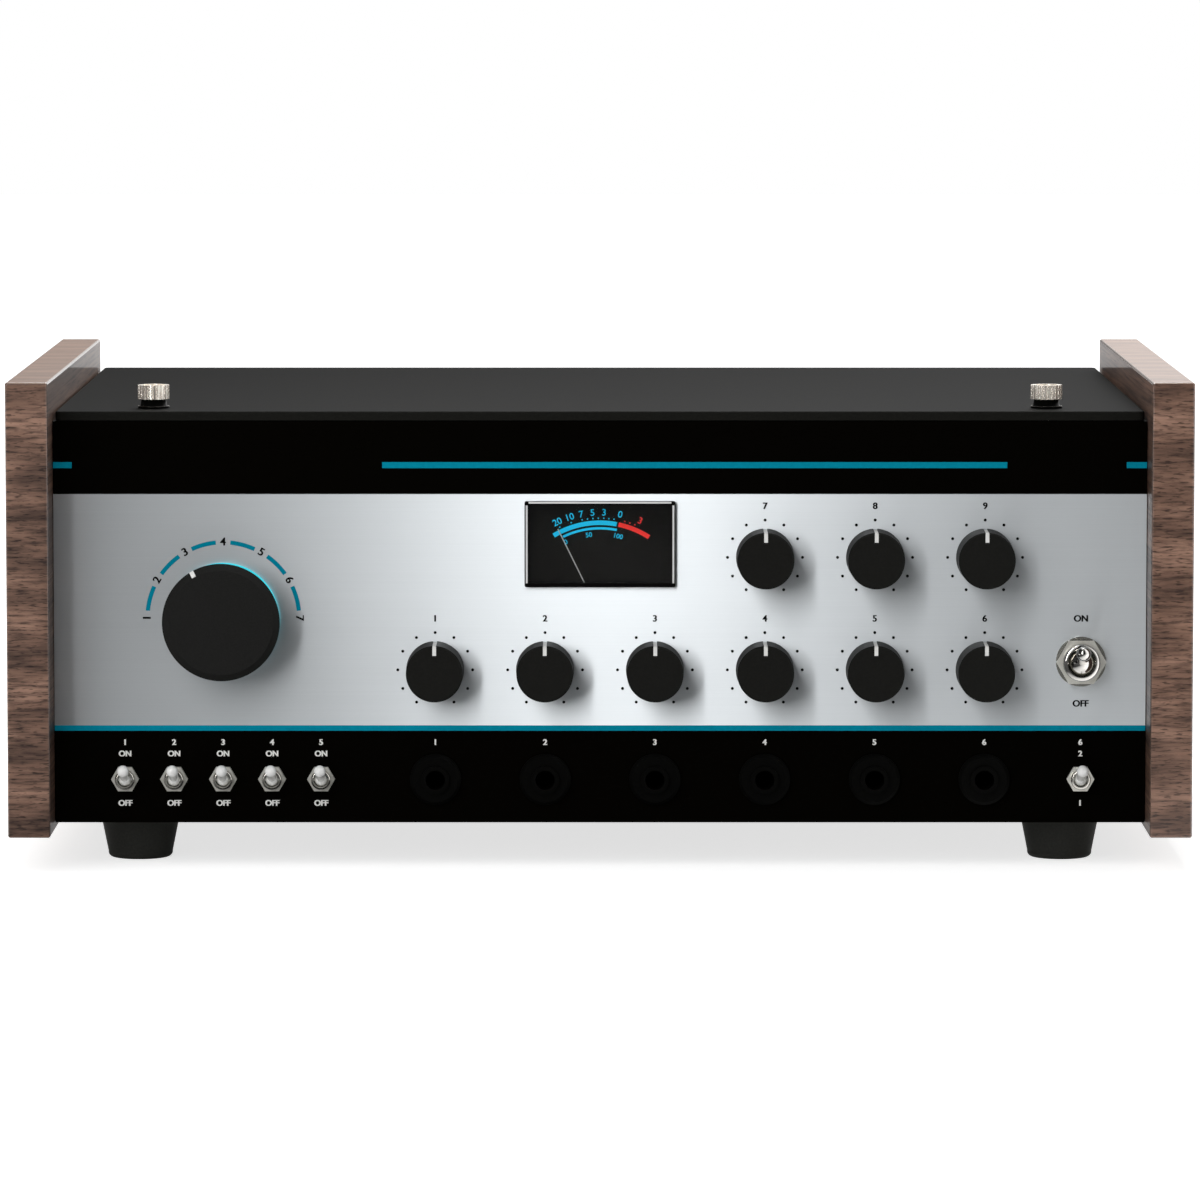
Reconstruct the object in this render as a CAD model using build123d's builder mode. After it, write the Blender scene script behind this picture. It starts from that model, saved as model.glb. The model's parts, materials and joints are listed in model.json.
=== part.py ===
"""Tape echo unit: a metal case between two timber cheeks, with a control panel, a level
meter, a hinged top cover and a tape transport under it.

Units are millimetres. +X is to the right of someone facing the panel, -Y is the front and
+Z is up. The origin is on the standing surface, under the middle of the bounding box.
"""

from build123d import *
from math import cos, radians, sin, sqrt
import os

# ---- driving dimensions: the case -------------------------------------------------------
CHEEK_THICK = 14.0
CHEEK_DEEP = 256.0
CHEEK_HIGH = 150.2
CHEEK_BOTTOM = 12.2
CHEEK_INNER_X = 181.0
CHEEK_ROUND = 0.8
FRONT_Y = -134.0  # front edge of the cheeks
BACK_Y = 134.0  # furthest point of the hinge knuckles

PANEL_FACE = -114.0  # the control panel stands back from the cheeks
PANEL_BACK = -112.0
CASE_HALF = 180.8
CASE_BOTTOM = 15.0
CASE_RIM = 148.4
SHEET = 1.5  # thickness of the folded steel
REAR_INNER = 127.5
REAR_FACE = REAR_INNER + SHEET
REAR_TOP = 147.6

COVER_HALF = 180.0
COVER_TOP = 151.7
COVER_LIP = 148.7
COVER_BACK = 128.7
GAP = 0.3  # between pieces that move past each other
RUNNING = 0.05  # radial clearance of a shaft in its bearing

# ---- driving dimensions: the controls ---------------------------------------------------
KNOB_PITCH = 36.4
LOWER_ROW_Z = 65.9
UPPER_ROW_Z = 103.3
JACK_Z = 29.4
MODE_X, MODE_Z = -124.7, 83.2
POWER_X, POWER_Z = 159.3, 68.7
TOGGLE_Z = 29.6
TOGGLE_PITCH = 16.25
TOGGLE_MIDDLE_X = -125.0
METER_Z = 107.75
METER_WIDE, METER_HIGH = 49.9, 28.5
NEEDLE_PIVOT_Z = 84.0
NEEDLE_REACH = 31.6
NEEDLE_REST = 26.2  # degrees left of upright

COLUMN_X = [KNOB_PITCH * (i - 1.5) for i in range(6)]
KNOB_PLACES = {
    "knob_input_volume": (COLUMN_X[0], LOWER_ROW_Z),
    "knob_chorus_rate": (COLUMN_X[1], LOWER_ROW_Z),
    "knob_chorus_depth": (COLUMN_X[2], LOWER_ROW_Z),
    "knob_reverb_volume": (COLUMN_X[3], LOWER_ROW_Z),
    "knob_speed": (COLUMN_X[4], LOWER_ROW_Z),
    "knob_echo_volume": (COLUMN_X[5], LOWER_ROW_Z),
    "knob_bass": (COLUMN_X[3], UPPER_ROW_Z),
    "knob_treble": (COLUMN_X[4], UPPER_ROW_Z),
    "knob_feedback": (COLUMN_X[5], UPPER_ROW_Z),
}
TOGGLE_PLACES = {
    "lever_direct": (TOGGLE_MIDDLE_X - 2 * TOGGLE_PITCH, TOGGLE_Z),
    "lever_motor": (TOGGLE_MIDDLE_X - TOGGLE_PITCH, TOGGLE_Z),
    "lever_sound_on_sound": (TOGGLE_MIDDLE_X, TOGGLE_Z),
    "lever_echo": (TOGGLE_MIDDLE_X + TOGGLE_PITCH, TOGGLE_Z),
    "lever_chorus": (TOGGLE_MIDDLE_X + 2 * TOGGLE_PITCH, TOGGLE_Z),
    "lever_output_level": (POWER_X, TOGGLE_Z),
}
JACK_PLACES = [(x, JACK_Z) for x in COLUMN_X]

# ---- driving dimensions: the transport --------------------------------------------------
DECK_UNDER, DECK_TOP = 114.0, 116.0
DECK_FRONT, DECK_BACK = -82.0, 122.0
TAPE_LOW, TAPE_WIDE = 118.5, 6.35
TAPE_THICK = 0.3
TAPE_RUN_Y = -62.0
TAPE_LEFT_X, TAPE_RIGHT_X = -150.0, 140.0
TAPE_REAR_Y = 100.0
TAPE_TURN = 8.0
CAPSTAN_X, CAPSTAN_R = 106.0, 3.0
ROLLER_R = 8.0
TAPE_CLEAR = TAPE_THICK / 2 + GAP
CAPSTAN_Y = TAPE_RUN_Y + TAPE_CLEAR + CAPSTAN_R
ROLLER_Y = TAPE_RUN_Y - TAPE_CLEAR - ROLLER_R
FLYWHEEL_R, FLYWHEEL_LOW, FLYWHEEL_TOP = 32.0, 100.0, 108.0
MOTOR_X, MOTOR_Y, PULLEY_R = 38.0, -50.0, 6.0
ARM_X, ARM_Y = 152.0, -56.0
ARM_LOW, ARM_TOP = 126.5, 128.5
TAIL_Y = ARM_Y + 14.0
ROD_Z = 122.5

COVER_SCREW_X, COVER_SCREW_Y = 148.5, -96.0
HINGE_X, HINGE_LONG = 110.0, 40.0
HINGE_R, PIN_R = 2.5, 1.0
HINGE_Y, HINGE_Z = BACK_Y - HINGE_R, 148.2
FOOT_PLACES = [(x, y) for x in (-154.4, 154.4) for y in (-84.0, 95.0)]
CHEEK_SCREW_PLACES = [(y, z) for y in (-90.0, 90.0) for z in (40.0, 130.0)]
REAR_SCREW_PLACES = [(x, z) for x in (-172.0, 0.0, 172.0) for z in (24.0, 139.0)]
DECK_SCREW_PLACES = [(x, y) for x in (-174.0, 174.0) for y in (-66.0, 110.0)]
HINGE_SCREW_PLACES = [(side * HINGE_X + d, 139.0) for side in (-1, 1) for d in (-12.0, 12.0)]
INLET_X, INLET_Z = 128.0, 92.0

SCREW_R, SCREW_HOLE_R = 1.5, 1.6
SCREW_HEAD_R, SCREW_HEAD_HIGH = 3.0, 2.0
PILOT_DEEP = 10.0


def facing(y):
    """Plane at depth y whose sketches lie in X and Z; extruding runs to the front."""
    return Plane.XZ.offset(-y)


def level(z):
    """Horizontal plane at height z."""
    return Plane.XY.offset(z)


def save(made, name):
    """Labels a finished piece and writes its STEP file."""
    made.part.label = name
    export_step(made.part, f"parts/{name}.step")


os.makedirs("parts", exist_ok=True)


# ======================================================================= case
def make_cheek(side, name):
    """Timber end cheek with eased edges and blind pilot holes on its inner face."""
    inner = side * CHEEK_INNER_X
    middle = (FRONT_Y + CHEEK_DEEP / 2, CHEEK_BOTTOM + CHEEK_HIGH / 2)
    with BuildPart() as cheek:
        with BuildSketch(Plane.YZ.offset(inner)):
            with Locations(middle):
                Rectangle(CHEEK_DEEP, CHEEK_HIGH)
        extrude(amount=side * CHEEK_THICK)
        fillet(cheek.edges(), radius=CHEEK_ROUND)
        with BuildSketch(Plane.YZ.offset(inner)):
            with Locations(*CHEEK_SCREW_PLACES):
                Circle(SCREW_HOLE_R)
        extrude(amount=side * PILOT_DEEP, mode=Mode.SUBTRACT)
    save(cheek, name)


make_cheek(-1, "left_cheek")
make_cheek(1, "right_cheek")

BUSH_R, JACK_BUSH_R, MODE_BUSH_R = 3.5, 4.6, 4.75
TOGGLE_BUSH_R, POWER_BUSH_R = 3.1, 5.95
HOLE_EASE = 0.1
NECK_WIDE, NECK_HIGH = 49.0, 27.4

with BuildPart() as front_panel:
    with BuildSketch(facing(PANEL_BACK)):
        with Locations((0, (CASE_BOTTOM + CASE_RIM) / 2)):
            Rectangle(2 * CASE_HALF, CASE_RIM - CASE_BOTTOM)
        with Locations(*KNOB_PLACES.values()):
            Circle(BUSH_R + HOLE_EASE, mode=Mode.SUBTRACT)
        with Locations(*TOGGLE_PLACES.values()):
            Circle(TOGGLE_BUSH_R + HOLE_EASE, mode=Mode.SUBTRACT)
        with Locations(*JACK_PLACES):
            Circle(JACK_BUSH_R + HOLE_EASE, mode=Mode.SUBTRACT)
        with Locations((MODE_X, MODE_Z)):
            Circle(MODE_BUSH_R + HOLE_EASE, mode=Mode.SUBTRACT)
        with Locations((POWER_X, POWER_Z)):
            Circle(POWER_BUSH_R + HOLE_EASE, mode=Mode.SUBTRACT)
        with Locations((0, METER_Z)):
            Rectangle(NECK_WIDE, NECK_HIGH, mode=Mode.SUBTRACT)
    extrude(amount=PANEL_BACK - PANEL_FACE)
save(front_panel, "front_panel")

LEDGE_WIDE, FLANGE_WIDE = 10.0, 8.0
with BuildPart() as chassis_tray:
    with BuildSketch(facing(REAR_INNER)):
        with Locations((0, CASE_BOTTOM + SHEET / 2)):
            Rectangle(2 * CASE_HALF, SHEET)
        for side in (-1, 1):
            wall_inner = side * (CASE_HALF - SHEET)
            with Locations((side * (CASE_HALF - SHEET / 2), (CASE_BOTTOM + CASE_RIM) / 2)):
                Rectangle(SHEET, CASE_RIM - CASE_BOTTOM)
            with Locations((wall_inner - side * LEDGE_WIDE / 2, DECK_UNDER - SHEET / 2)):
                Rectangle(LEDGE_WIDE, SHEET)
            with Locations((wall_inner - side * FLANGE_WIDE / 2, CASE_RIM - SHEET / 2)):
                Rectangle(FLANGE_WIDE, SHEET)
    extrude(amount=REAR_INNER - PANEL_BACK)
    with BuildSketch(level(CASE_BOTTOM)):
        with Locations(*FOOT_PLACES):
            Circle(SCREW_HOLE_R)
    extrude(amount=SHEET, mode=Mode.SUBTRACT)
    with BuildSketch(level(DECK_UNDER - SHEET)):
        with Locations(*DECK_SCREW_PLACES):
            Circle(SCREW_HOLE_R)
    extrude(amount=SHEET, mode=Mode.SUBTRACT)
    with BuildSketch(Plane.YZ.offset(-CASE_HALF)):
        with Locations(*CHEEK_SCREW_PLACES):
            Circle(SCREW_HOLE_R)
    extrude(amount=2 * CASE_HALF, mode=Mode.SUBTRACT)
save(chassis_tray, "chassis_tray")

INLET_WIDE, INLET_HIGH = 27.0, 19.8
VENT_LONG, VENT_WIDE, VENT_PITCH = 34.0, 3.0, 8.0
with BuildPart() as rear_panel:
    with BuildSketch(facing(REAR_FACE)):
        with Locations((0, (CASE_BOTTOM + REAR_TOP) / 2)):
            Rectangle(2 * CASE_HALF, REAR_TOP - CASE_BOTTOM)
        with Locations(*REAR_SCREW_PLACES, *HINGE_SCREW_PLACES):
            Circle(SCREW_HOLE_R, mode=Mode.SUBTRACT)
        with Locations((INLET_X, INLET_Z)):
            Rectangle(INLET_WIDE + 2 * HOLE_EASE, INLET_HIGH + 2 * HOLE_EASE, mode=Mode.SUBTRACT)
        with Locations((-40, 80)):
            with GridLocations(VENT_PITCH, VENT_LONG + 8, 16, 2):
                SlotOverall(VENT_LONG, VENT_WIDE, rotation=90, mode=Mode.SUBTRACT)
    extrude(amount=SHEET)
save(rear_panel, "rear_panel")


# ======================================================================= top cover and hinges
KNUCKLE_GAP = 0.2
MOVING_HALF = HINGE_LONG / 4 - KNUCKLE_GAP
LEAF_THICK, LEAF_WIDE = 1.0, 12.0
WEB_WIDE, WEB_HIGH, WEB_Z = 9.6, 5.0, 147.0
LEAF_BACK = COVER_BACK - 1.0
COVER_HOLE_R, BRACKET_HOLE_R = 2.4, 3.4
COVER_CORNER_R, COVER_EDGE_R = 2.0, 0.6
cover_middle = (0, (PANEL_FACE + COVER_BACK) / 2)
cover_deep = COVER_BACK - PANEL_FACE

with BuildPart() as top_cover:
    with BuildSketch(level(COVER_TOP - SHEET)):
        with Locations(cover_middle):
            RectangleRounded(2 * COVER_HALF, cover_deep, COVER_CORNER_R)
    extrude(amount=SHEET)
    with BuildSketch(level(COVER_LIP)):  # lips along the front and the sides, none at the back
        with Locations(cover_middle):
            RectangleRounded(2 * COVER_HALF, cover_deep, COVER_CORNER_R)
        with Locations((0, PANEL_FACE + SHEET + cover_deep / 2)):
            Rectangle(2 * (COVER_HALF - SHEET), cover_deep, mode=Mode.SUBTRACT)
    extrude(amount=COVER_TOP - SHEET - COVER_LIP)
    top_rim = top_cover.faces().sort_by(Axis.Z)[-1].edges()
    fillet(top_rim, radius=COVER_EDGE_R)
    with BuildSketch(level(COVER_TOP)):
        with Locations(*[(side * COVER_SCREW_X, COVER_SCREW_Y) for side in (-1, 1)]):
            Circle(COVER_HOLE_R)
    extrude(amount=-SHEET, mode=Mode.SUBTRACT)
    for side in (-1, 1):  # the moving leaf and middle knuckle of each hinge
        with BuildSketch(Plane.YZ.offset(side * HINGE_X - MOVING_HALF)) as knuckle:
            with Locations((HINGE_Y, HINGE_Z)):
                Circle(HINGE_R)
            with Locations(((LEAF_BACK + HINGE_Y) / 2, HINGE_Z + LEAF_THICK / 2)):
                Rectangle(HINGE_Y - LEAF_BACK, LEAF_THICK)
            with Locations((HINGE_Y, HINGE_Z)):
                Circle(PIN_R + RUNNING, mode=Mode.SUBTRACT)
        extrude(amount=2 * MOVING_HALF)
        with BuildSketch(level(HINGE_Z)):
            with Locations((side * HINGE_X, LEAF_BACK - LEAF_WIDE / 2)):
                Rectangle(HINGE_LONG, LEAF_WIDE)
        extrude(amount=COVER_TOP - SHEET - HINGE_Z)
save(top_cover, "top_cover")

FIXED_LEAF_Z = 140.0
with BuildPart() as cover_hinges:
    for side in (-1, 1):
        start_x = side * HINGE_X - HINGE_LONG / 2
        with BuildSketch(facing(REAR_FACE + LEAF_THICK)):
            with Locations((side * HINGE_X, FIXED_LEAF_Z)):
                Rectangle(HINGE_LONG, LEAF_WIDE)
            for end in (-1, 1):  # webs up to the fixed knuckles
                with Locations((side * HINGE_X + end * (HINGE_LONG - WEB_WIDE) / 2, WEB_Z)):
                    Rectangle(WEB_WIDE, WEB_HIGH)
            with Locations(*[p for p in HINGE_SCREW_PLACES if p[0] * side > 0]):
                Circle(SCREW_HOLE_R, mode=Mode.SUBTRACT)
        extrude(amount=LEAF_THICK)
        for knuckle_x in (start_x, start_x + 3 * HINGE_LONG / 4 + KNUCKLE_GAP):
            with BuildSketch(Plane.YZ.offset(knuckle_x)):
                with Locations((HINGE_Y, HINGE_Z)):
                    Circle(HINGE_R)
            extrude(amount=HINGE_LONG / 4 - KNUCKLE_GAP)
        with BuildSketch(Plane.YZ.offset(start_x)):
            with Locations((HINGE_Y, HINGE_Z)):
                Circle(PIN_R)
        extrude(amount=HINGE_LONG)
save(cover_hinges, "cover_hinges")

THUMB_R, COLLAR_R, WASHER_R, SHANK_R = 5.25, 4.0, 5.2, 2.0
COLLAR_LOW, COLLAR_TOP, THUMB_TOP, SHANK_LOW = 151.9, 154.7, 159.4, 141.5
WASHER_THICK, DISH_RIM, DISH_DEEP, TIP_CHAMFER = 0.5, 1.4, 0.5, 0.5
KNURLS, KNURL_R = 24, 0.42


def make_thumbscrew(side, name):
    """Captive cover screw: knurled head, plain collar on a washer, and shank, all in one."""
    centre = (side * COVER_SCREW_X, COVER_SCREW_Y)
    with BuildPart() as thumbscrew:
        with BuildSketch(level(COLLAR_TOP)):
            with Locations(centre):
                Circle(THUMB_R)
                with PolarLocations(THUMB_R, KNURLS):
                    Circle(KNURL_R, mode=Mode.SUBTRACT)
        extrude(amount=THUMB_TOP - COLLAR_TOP)
        with BuildSketch(level(THUMB_TOP)):
            with Locations(centre):
                Circle(THUMB_R - DISH_RIM)
        extrude(amount=-DISH_DEEP, mode=Mode.SUBTRACT)
        with BuildSketch(level(COLLAR_LOW)):
            with Locations(centre):
                Circle(COLLAR_R)
        extrude(amount=COLLAR_TOP - COLLAR_LOW)
        with BuildSketch(level(COLLAR_LOW)):
            with Locations(centre):
                Circle(WASHER_R)
        extrude(amount=WASHER_THICK)
        with BuildSketch(level(SHANK_LOW)):
            with Locations(centre):
                Circle(SHANK_R)
        extrude(amount=COLLAR_LOW - SHANK_LOW)
        chamfer(thumbscrew.faces().sort_by(Axis.Z)[0].edges(), length=TIP_CHAMFER)
    save(thumbscrew, name)


make_thumbscrew(-1, "thumbscrew_left")
make_thumbscrew(1, "thumbscrew_right")

BRACKET_WIDE, BRACKET_FOOT, BRACKET_LOW, BRACKET_TOP = 18.0, 132.0, 143.0, 146.0
BRACKET_BACK = COVER_SCREW_Y + 8.0
with BuildPart() as cover_brackets:
    for side in (-1, 1):
        with BuildSketch(level(BRACKET_LOW)):
            with Locations((side * COVER_SCREW_X, (PANEL_BACK + BRACKET_BACK) / 2)):
                Rectangle(BRACKET_WIDE, BRACKET_BACK - PANEL_BACK)
            with Locations((side * COVER_SCREW_X, COVER_SCREW_Y)):
                Circle(BRACKET_HOLE_R, mode=Mode.SUBTRACT)
        extrude(amount=BRACKET_TOP - BRACKET_LOW)
        with BuildSketch(facing(PANEL_BACK + SHEET)):
            with Locations((side * COVER_SCREW_X, (BRACKET_FOOT + BRACKET_LOW) / 2)):
                Rectangle(BRACKET_WIDE, BRACKET_LOW - BRACKET_FOOT)
        extrude(amount=SHEET)
save(cover_brackets, "cover_brackets")

# ======================================================================= feet and screws
FOOT_TOP_R, FOOT_LOW_R, FOOT_HIGH = 13.4, 10.8, CASE_BOTTOM
FOOT_ROUND, FOOT_ROUND_IN = 2.0, 0.5
RECESS_R, RECESS_DEEP = 4.5, 7.0
with BuildPart() as feet:
    for foot_x, foot_y in FOOT_PLACES:
        upright = Plane(origin=(foot_x, foot_y, 0), x_dir=(1, 0, 0), z_dir=(0, -1, 0))
        with BuildSketch(upright):
            with BuildLine():
                Polyline(
                    (SCREW_HOLE_R, RECESS_DEEP),
                    (RECESS_R, RECESS_DEEP),
                    (RECESS_R, 0),
                    (FOOT_LOW_R - FOOT_ROUND, 0),
                )
                ThreePointArc(
                    (FOOT_LOW_R - FOOT_ROUND, 0),
                    (FOOT_LOW_R - FOOT_ROUND_IN, FOOT_ROUND_IN),
                    (FOOT_LOW_R, FOOT_ROUND),
                )
                Polyline(
                    (FOOT_LOW_R, FOOT_ROUND),
                    (FOOT_TOP_R, FOOT_HIGH),
                    (SCREW_HOLE_R, FOOT_HIGH),
                    (SCREW_HOLE_R, RECESS_DEEP),
                )
            make_face()
        revolve(axis=Axis((foot_x, foot_y, 0), (0, 0, 1)))
save(feet, "feet")


FOOT_SCREW, CHEEK_SCREW, SHORT_SCREW = 13.0, 11.0, 6.0  # shank lengths
CROSS_LONG, CROSS_WIDE, CROSS_DEEP = 3.4, 0.8, 1.0
SCREWS = [((x, y, RECESS_DEEP), (0, 0, 1), FOOT_SCREW) for x, y in FOOT_PLACES]
for side in (-1, 1):
    for screw_y, screw_z in CHEEK_SCREW_PLACES:
        SCREWS.append(((side * (CASE_HALF - SHEET), screw_y, screw_z), (side, 0, 0), CHEEK_SCREW))
SCREWS += [((x, REAR_FACE, z), (0, -1, 0), SHORT_SCREW) for x, z in REAR_SCREW_PLACES]
SCREWS += [((x, REAR_FACE + LEAF_THICK, z), (0, -1, 0), SHORT_SCREW) for x, z in HINGE_SCREW_PLACES]
SCREWS += [((x, y, DECK_TOP), (0, 0, -1), SHORT_SCREW) for x, y in DECK_SCREW_PLACES]

with BuildPart() as case_screws:
    for seat, inward, shank in SCREWS:  # pan heads stand on the seat, shanks run inward
        out = Plane(origin=seat, z_dir=tuple(-c for c in inward))
        with BuildSketch(out):
            Circle(SCREW_HEAD_R)
        extrude(amount=SCREW_HEAD_HIGH)
        with BuildSketch(out.offset(SCREW_HEAD_HIGH)):
            Rectangle(CROSS_LONG, CROSS_WIDE)
            Rectangle(CROSS_WIDE, CROSS_LONG)
        extrude(amount=-CROSS_DEEP, mode=Mode.SUBTRACT)
        with BuildSketch(out):
            Circle(SCREW_R)
        extrude(amount=-shank)
save(case_screws, "case_screws")

# ======================================================================= rotary controls
SHAFT_R = 3.0
SHAFT_BORE_R = SHAFT_R + 0.08
KNOB_BASE, KNOB_FACE = PANEL_FACE - 0.6, PANEL_FACE - 15.0
KNOB_BASE_R, KNOB_FACE_R = 9.6, 9.35
KNOB_RECESS_R, KNOB_RECESS, KNOB_CHAMFER = 7.4, 5.5, 0.5
BEVEL_SLOPE = 0.8  # depth of the rim's bevel for each millimetre of its width
POINTER_WIDE, POINTER_LONG, POINTER_DEEP = 1.3, 3.25, 0.4
CAN_BACK, CAN_R = -103.0, 8.25
TAG_Y, TAG_THICK, TAG_WIDE, TAG_LONG, TAG_PITCH = -107.0, 0.8, 1.6, 7.0, 5.0
SHAFT_END, SHAFT_WELL = -105.6, -104.6
BUSH_FRONT = -119.0


def make_knob(name, centre, sizes, pointer, angle=0.0):
    """Turned knob on its shaft. pointer is the slot (width, length, cut in the rim's bevel alone)."""
    base, face, base_r, face_r, recess_r, recess_y, chamfer_in = sizes
    slot_wide, slot_long, in_bevel = pointer
    centre_x, centre_z = centre
    flat = Plane(origin=(centre_x, 0, centre_z), x_dir=(1, 0, 0), z_dir=(0, 0, 1))
    with BuildPart() as knob:
        with BuildSketch(flat):
            with BuildLine():
                Polyline(
                    (0, recess_y),
                    (0, face),
                    (face_r - chamfer_in, face),
                    (face_r, face + chamfer_in * BEVEL_SLOPE),
                    (base_r, base),
                    (recess_r, base),
                    (recess_r, recess_y),
                    close=True,
                )
            make_face()
        revolve(axis=Axis((centre_x, 0, centre_z), (0, 1, 0)))
        slot_centre = (centre_x, centre_z)
        if in_bevel:
            outward = Vector(1, 0, 0).rotate(Axis.Y, -angle)
            bevel_middle = Vector(centre_x, face + chamfer_in * BEVEL_SLOPE / 2, centre_z)
            bevel_middle = bevel_middle + outward * (face_r - chamfer_in / 2)
            bevel_normal = outward * BEVEL_SLOPE - Vector(0, 1, 0)
            with BuildSketch(Plane(bevel_middle, outward.cross(Vector(0, 1, 0)), bevel_normal)):
                Rectangle(slot_wide, slot_long)
            extrude(amount=-POINTER_DEEP, mode=Mode.SUBTRACT)
        else:
            with BuildSketch(facing(face + POINTER_DEEP)):
                with Locations(slot_centre):
                    with PolarLocations(0, 1, start_angle=angle):
                        with Locations((face_r - slot_long / 2, 0)):
                            Rectangle(slot_long + 1.0, slot_wide)
            extrude(amount=2 * POINTER_DEEP, mode=Mode.SUBTRACT)
            with BuildSketch(facing(base)):
                with Locations(slot_centre):
                    with PolarLocations(0, 1, start_angle=angle):
                        with Locations((base_r + 1.5 * POINTER_DEEP, 0)):
                            Rectangle(5 * POINTER_DEEP, slot_wide)
            extrude(amount=base - face, mode=Mode.SUBTRACT)
        with BuildSketch(facing(SHAFT_END)):
            with Locations(slot_centre):
                Circle(SHAFT_R)
        extrude(amount=SHAFT_END - recess_y)
    save(knob, name)


small_knob = (
    KNOB_BASE,
    KNOB_FACE,
    KNOB_BASE_R,
    KNOB_FACE_R,
    KNOB_RECESS_R,
    KNOB_BASE - KNOB_RECESS,
    KNOB_CHAMFER,
)
for knob_name, place in KNOB_PLACES.items():
    make_knob(knob_name, place, small_knob, (POINTER_WIDE, POINTER_LONG, False), angle=90)

MODE_BASE, MODE_FACE = PANEL_FACE - 1.6, PANEL_FACE - 18.5
MODE_BASE_R, MODE_FACE_R = 17.6, 19.4
MODE_RECESS_R, MODE_RECESS, MODE_CHAMFER = 15.6, 5.0, 2.2
MODE_MARK_WIDE, MODE_MARK_LONG = 1.5, 2.5
MODE_POSITION_3 = 120.0  # degrees from +X, anticlockwise as seen from the front
big_knob = (
    MODE_BASE,
    MODE_FACE,
    MODE_BASE_R,
    MODE_FACE_R,
    MODE_RECESS_R,
    MODE_BASE - MODE_RECESS,
    MODE_CHAMFER,
)
big_mark = (MODE_MARK_WIDE, MODE_MARK_LONG, True)
make_knob("mode_knob", (MODE_X, MODE_Z), big_knob, big_mark, MODE_POSITION_3)

RING_R, RING_BORE_R, RING_THICK = 18.3, 10.0, 1.0
with BuildPart() as mode_ring:
    with BuildSketch(facing(PANEL_FACE)):
        with Locations((MODE_X, MODE_Z)):
            Circle(RING_R)
            Circle(RING_BORE_R, mode=Mode.SUBTRACT)
    extrude(amount=RING_THICK)
save(mode_ring, "mode_ring")

SWITCH_BACK, SWITCH_R = -98.0, 15.0
LUG_RING_R, LUG_COUNT, LUG_THICK, LUG_WIDE, LUG_LONG = 11.0, 12, 1.0, 2.4, 4.0
with BuildPart() as mode_switch:
    with BuildSketch(facing(SWITCH_BACK)):
        with Locations((MODE_X, MODE_Z)):
            Circle(SWITCH_R)
    extrude(amount=SWITCH_BACK - PANEL_BACK)
    with BuildSketch(facing(PANEL_BACK)):
        with Locations((MODE_X, MODE_Z)):
            Circle(MODE_BUSH_R)
    extrude(amount=PANEL_BACK - BUSH_FRONT)
    with BuildSketch(facing(SHAFT_WELL)):
        with Locations((MODE_X, MODE_Z)):
            Circle(SHAFT_BORE_R)
    extrude(amount=SHAFT_WELL - BUSH_FRONT, mode=Mode.SUBTRACT)
    with BuildSketch(facing(SWITCH_BACK + LUG_LONG)):  # contact lugs round the wafer
        with Locations((MODE_X, MODE_Z)):
            with PolarLocations(LUG_RING_R, LUG_COUNT):
                Rectangle(LUG_THICK, LUG_WIDE)
    extrude(amount=LUG_LONG)
save(mode_switch, "mode_switch")

with BuildPart() as potentiometers:
    with BuildSketch(facing(CAN_BACK)):
        with Locations(*KNOB_PLACES.values()):
            Circle(CAN_R)
    extrude(amount=CAN_BACK - PANEL_BACK)
    with BuildSketch(facing(PANEL_BACK)):
        with Locations(*KNOB_PLACES.values()):
            Circle(BUSH_R)
    extrude(amount=PANEL_BACK - BUSH_FRONT)
    with BuildSketch(facing(SHAFT_WELL)):
        with Locations(*KNOB_PLACES.values()):
            Circle(SHAFT_BORE_R)
    extrude(amount=SHAFT_WELL - BUSH_FRONT, mode=Mode.SUBTRACT)
    with BuildSketch(facing(TAG_Y)):  # three solder tags under each can
        for pot_x, pot_z in KNOB_PLACES.values():
            with Locations(*[(pot_x + i * TAG_PITCH, pot_z - CAN_R - 1.5) for i in (-1, 0, 1)]):
                Rectangle(TAG_WIDE, TAG_LONG)
    extrude(amount=TAG_THICK)
save(potentiometers, "potentiometers")

TOGGLE_NUT_AF, POT_NUT_AF, MODE_NUT_AF, NUT_HIGH = 8.0, 10.0, 14.0, 2.0
POWER_NUT_AF, POWER_NUT_HIGH = 14.4, 2.6
POWER_WASHER_R, POWER_WASHER_THICK = 8.3, 0.8
with BuildPart() as panel_nuts:
    with BuildSketch(facing(PANEL_FACE)):
        with Locations(*TOGGLE_PLACES.values()):
            RegularPolygon(TOGGLE_NUT_AF / 2, 6, major_radius=False)
            Circle(TOGGLE_BUSH_R, mode=Mode.SUBTRACT)
        with Locations(*KNOB_PLACES.values()):
            RegularPolygon(POT_NUT_AF / 2, 6, major_radius=False)
            Circle(BUSH_R, mode=Mode.SUBTRACT)
        with Locations((MODE_X, MODE_Z)):
            RegularPolygon(MODE_NUT_AF / 2, 6, major_radius=False)
            Circle(MODE_BUSH_R, mode=Mode.SUBTRACT)
    extrude(amount=NUT_HIGH)
    with BuildSketch(facing(PANEL_FACE)):  # washer and dress nut of the power switch
        with Locations((POWER_X, POWER_Z)):
            Circle(POWER_WASHER_R)
            Circle(POWER_BUSH_R, mode=Mode.SUBTRACT)
    extrude(amount=POWER_WASHER_THICK)
    with BuildSketch(facing(PANEL_FACE - POWER_WASHER_THICK)):
        with Locations((POWER_X, POWER_Z)):
            RegularPolygon(POWER_NUT_AF / 2, 6, major_radius=False)
            Circle(POWER_BUSH_R, mode=Mode.SUBTRACT)
    extrude(amount=POWER_NUT_HIGH)
save(panel_nuts, "panel_nuts")

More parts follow.
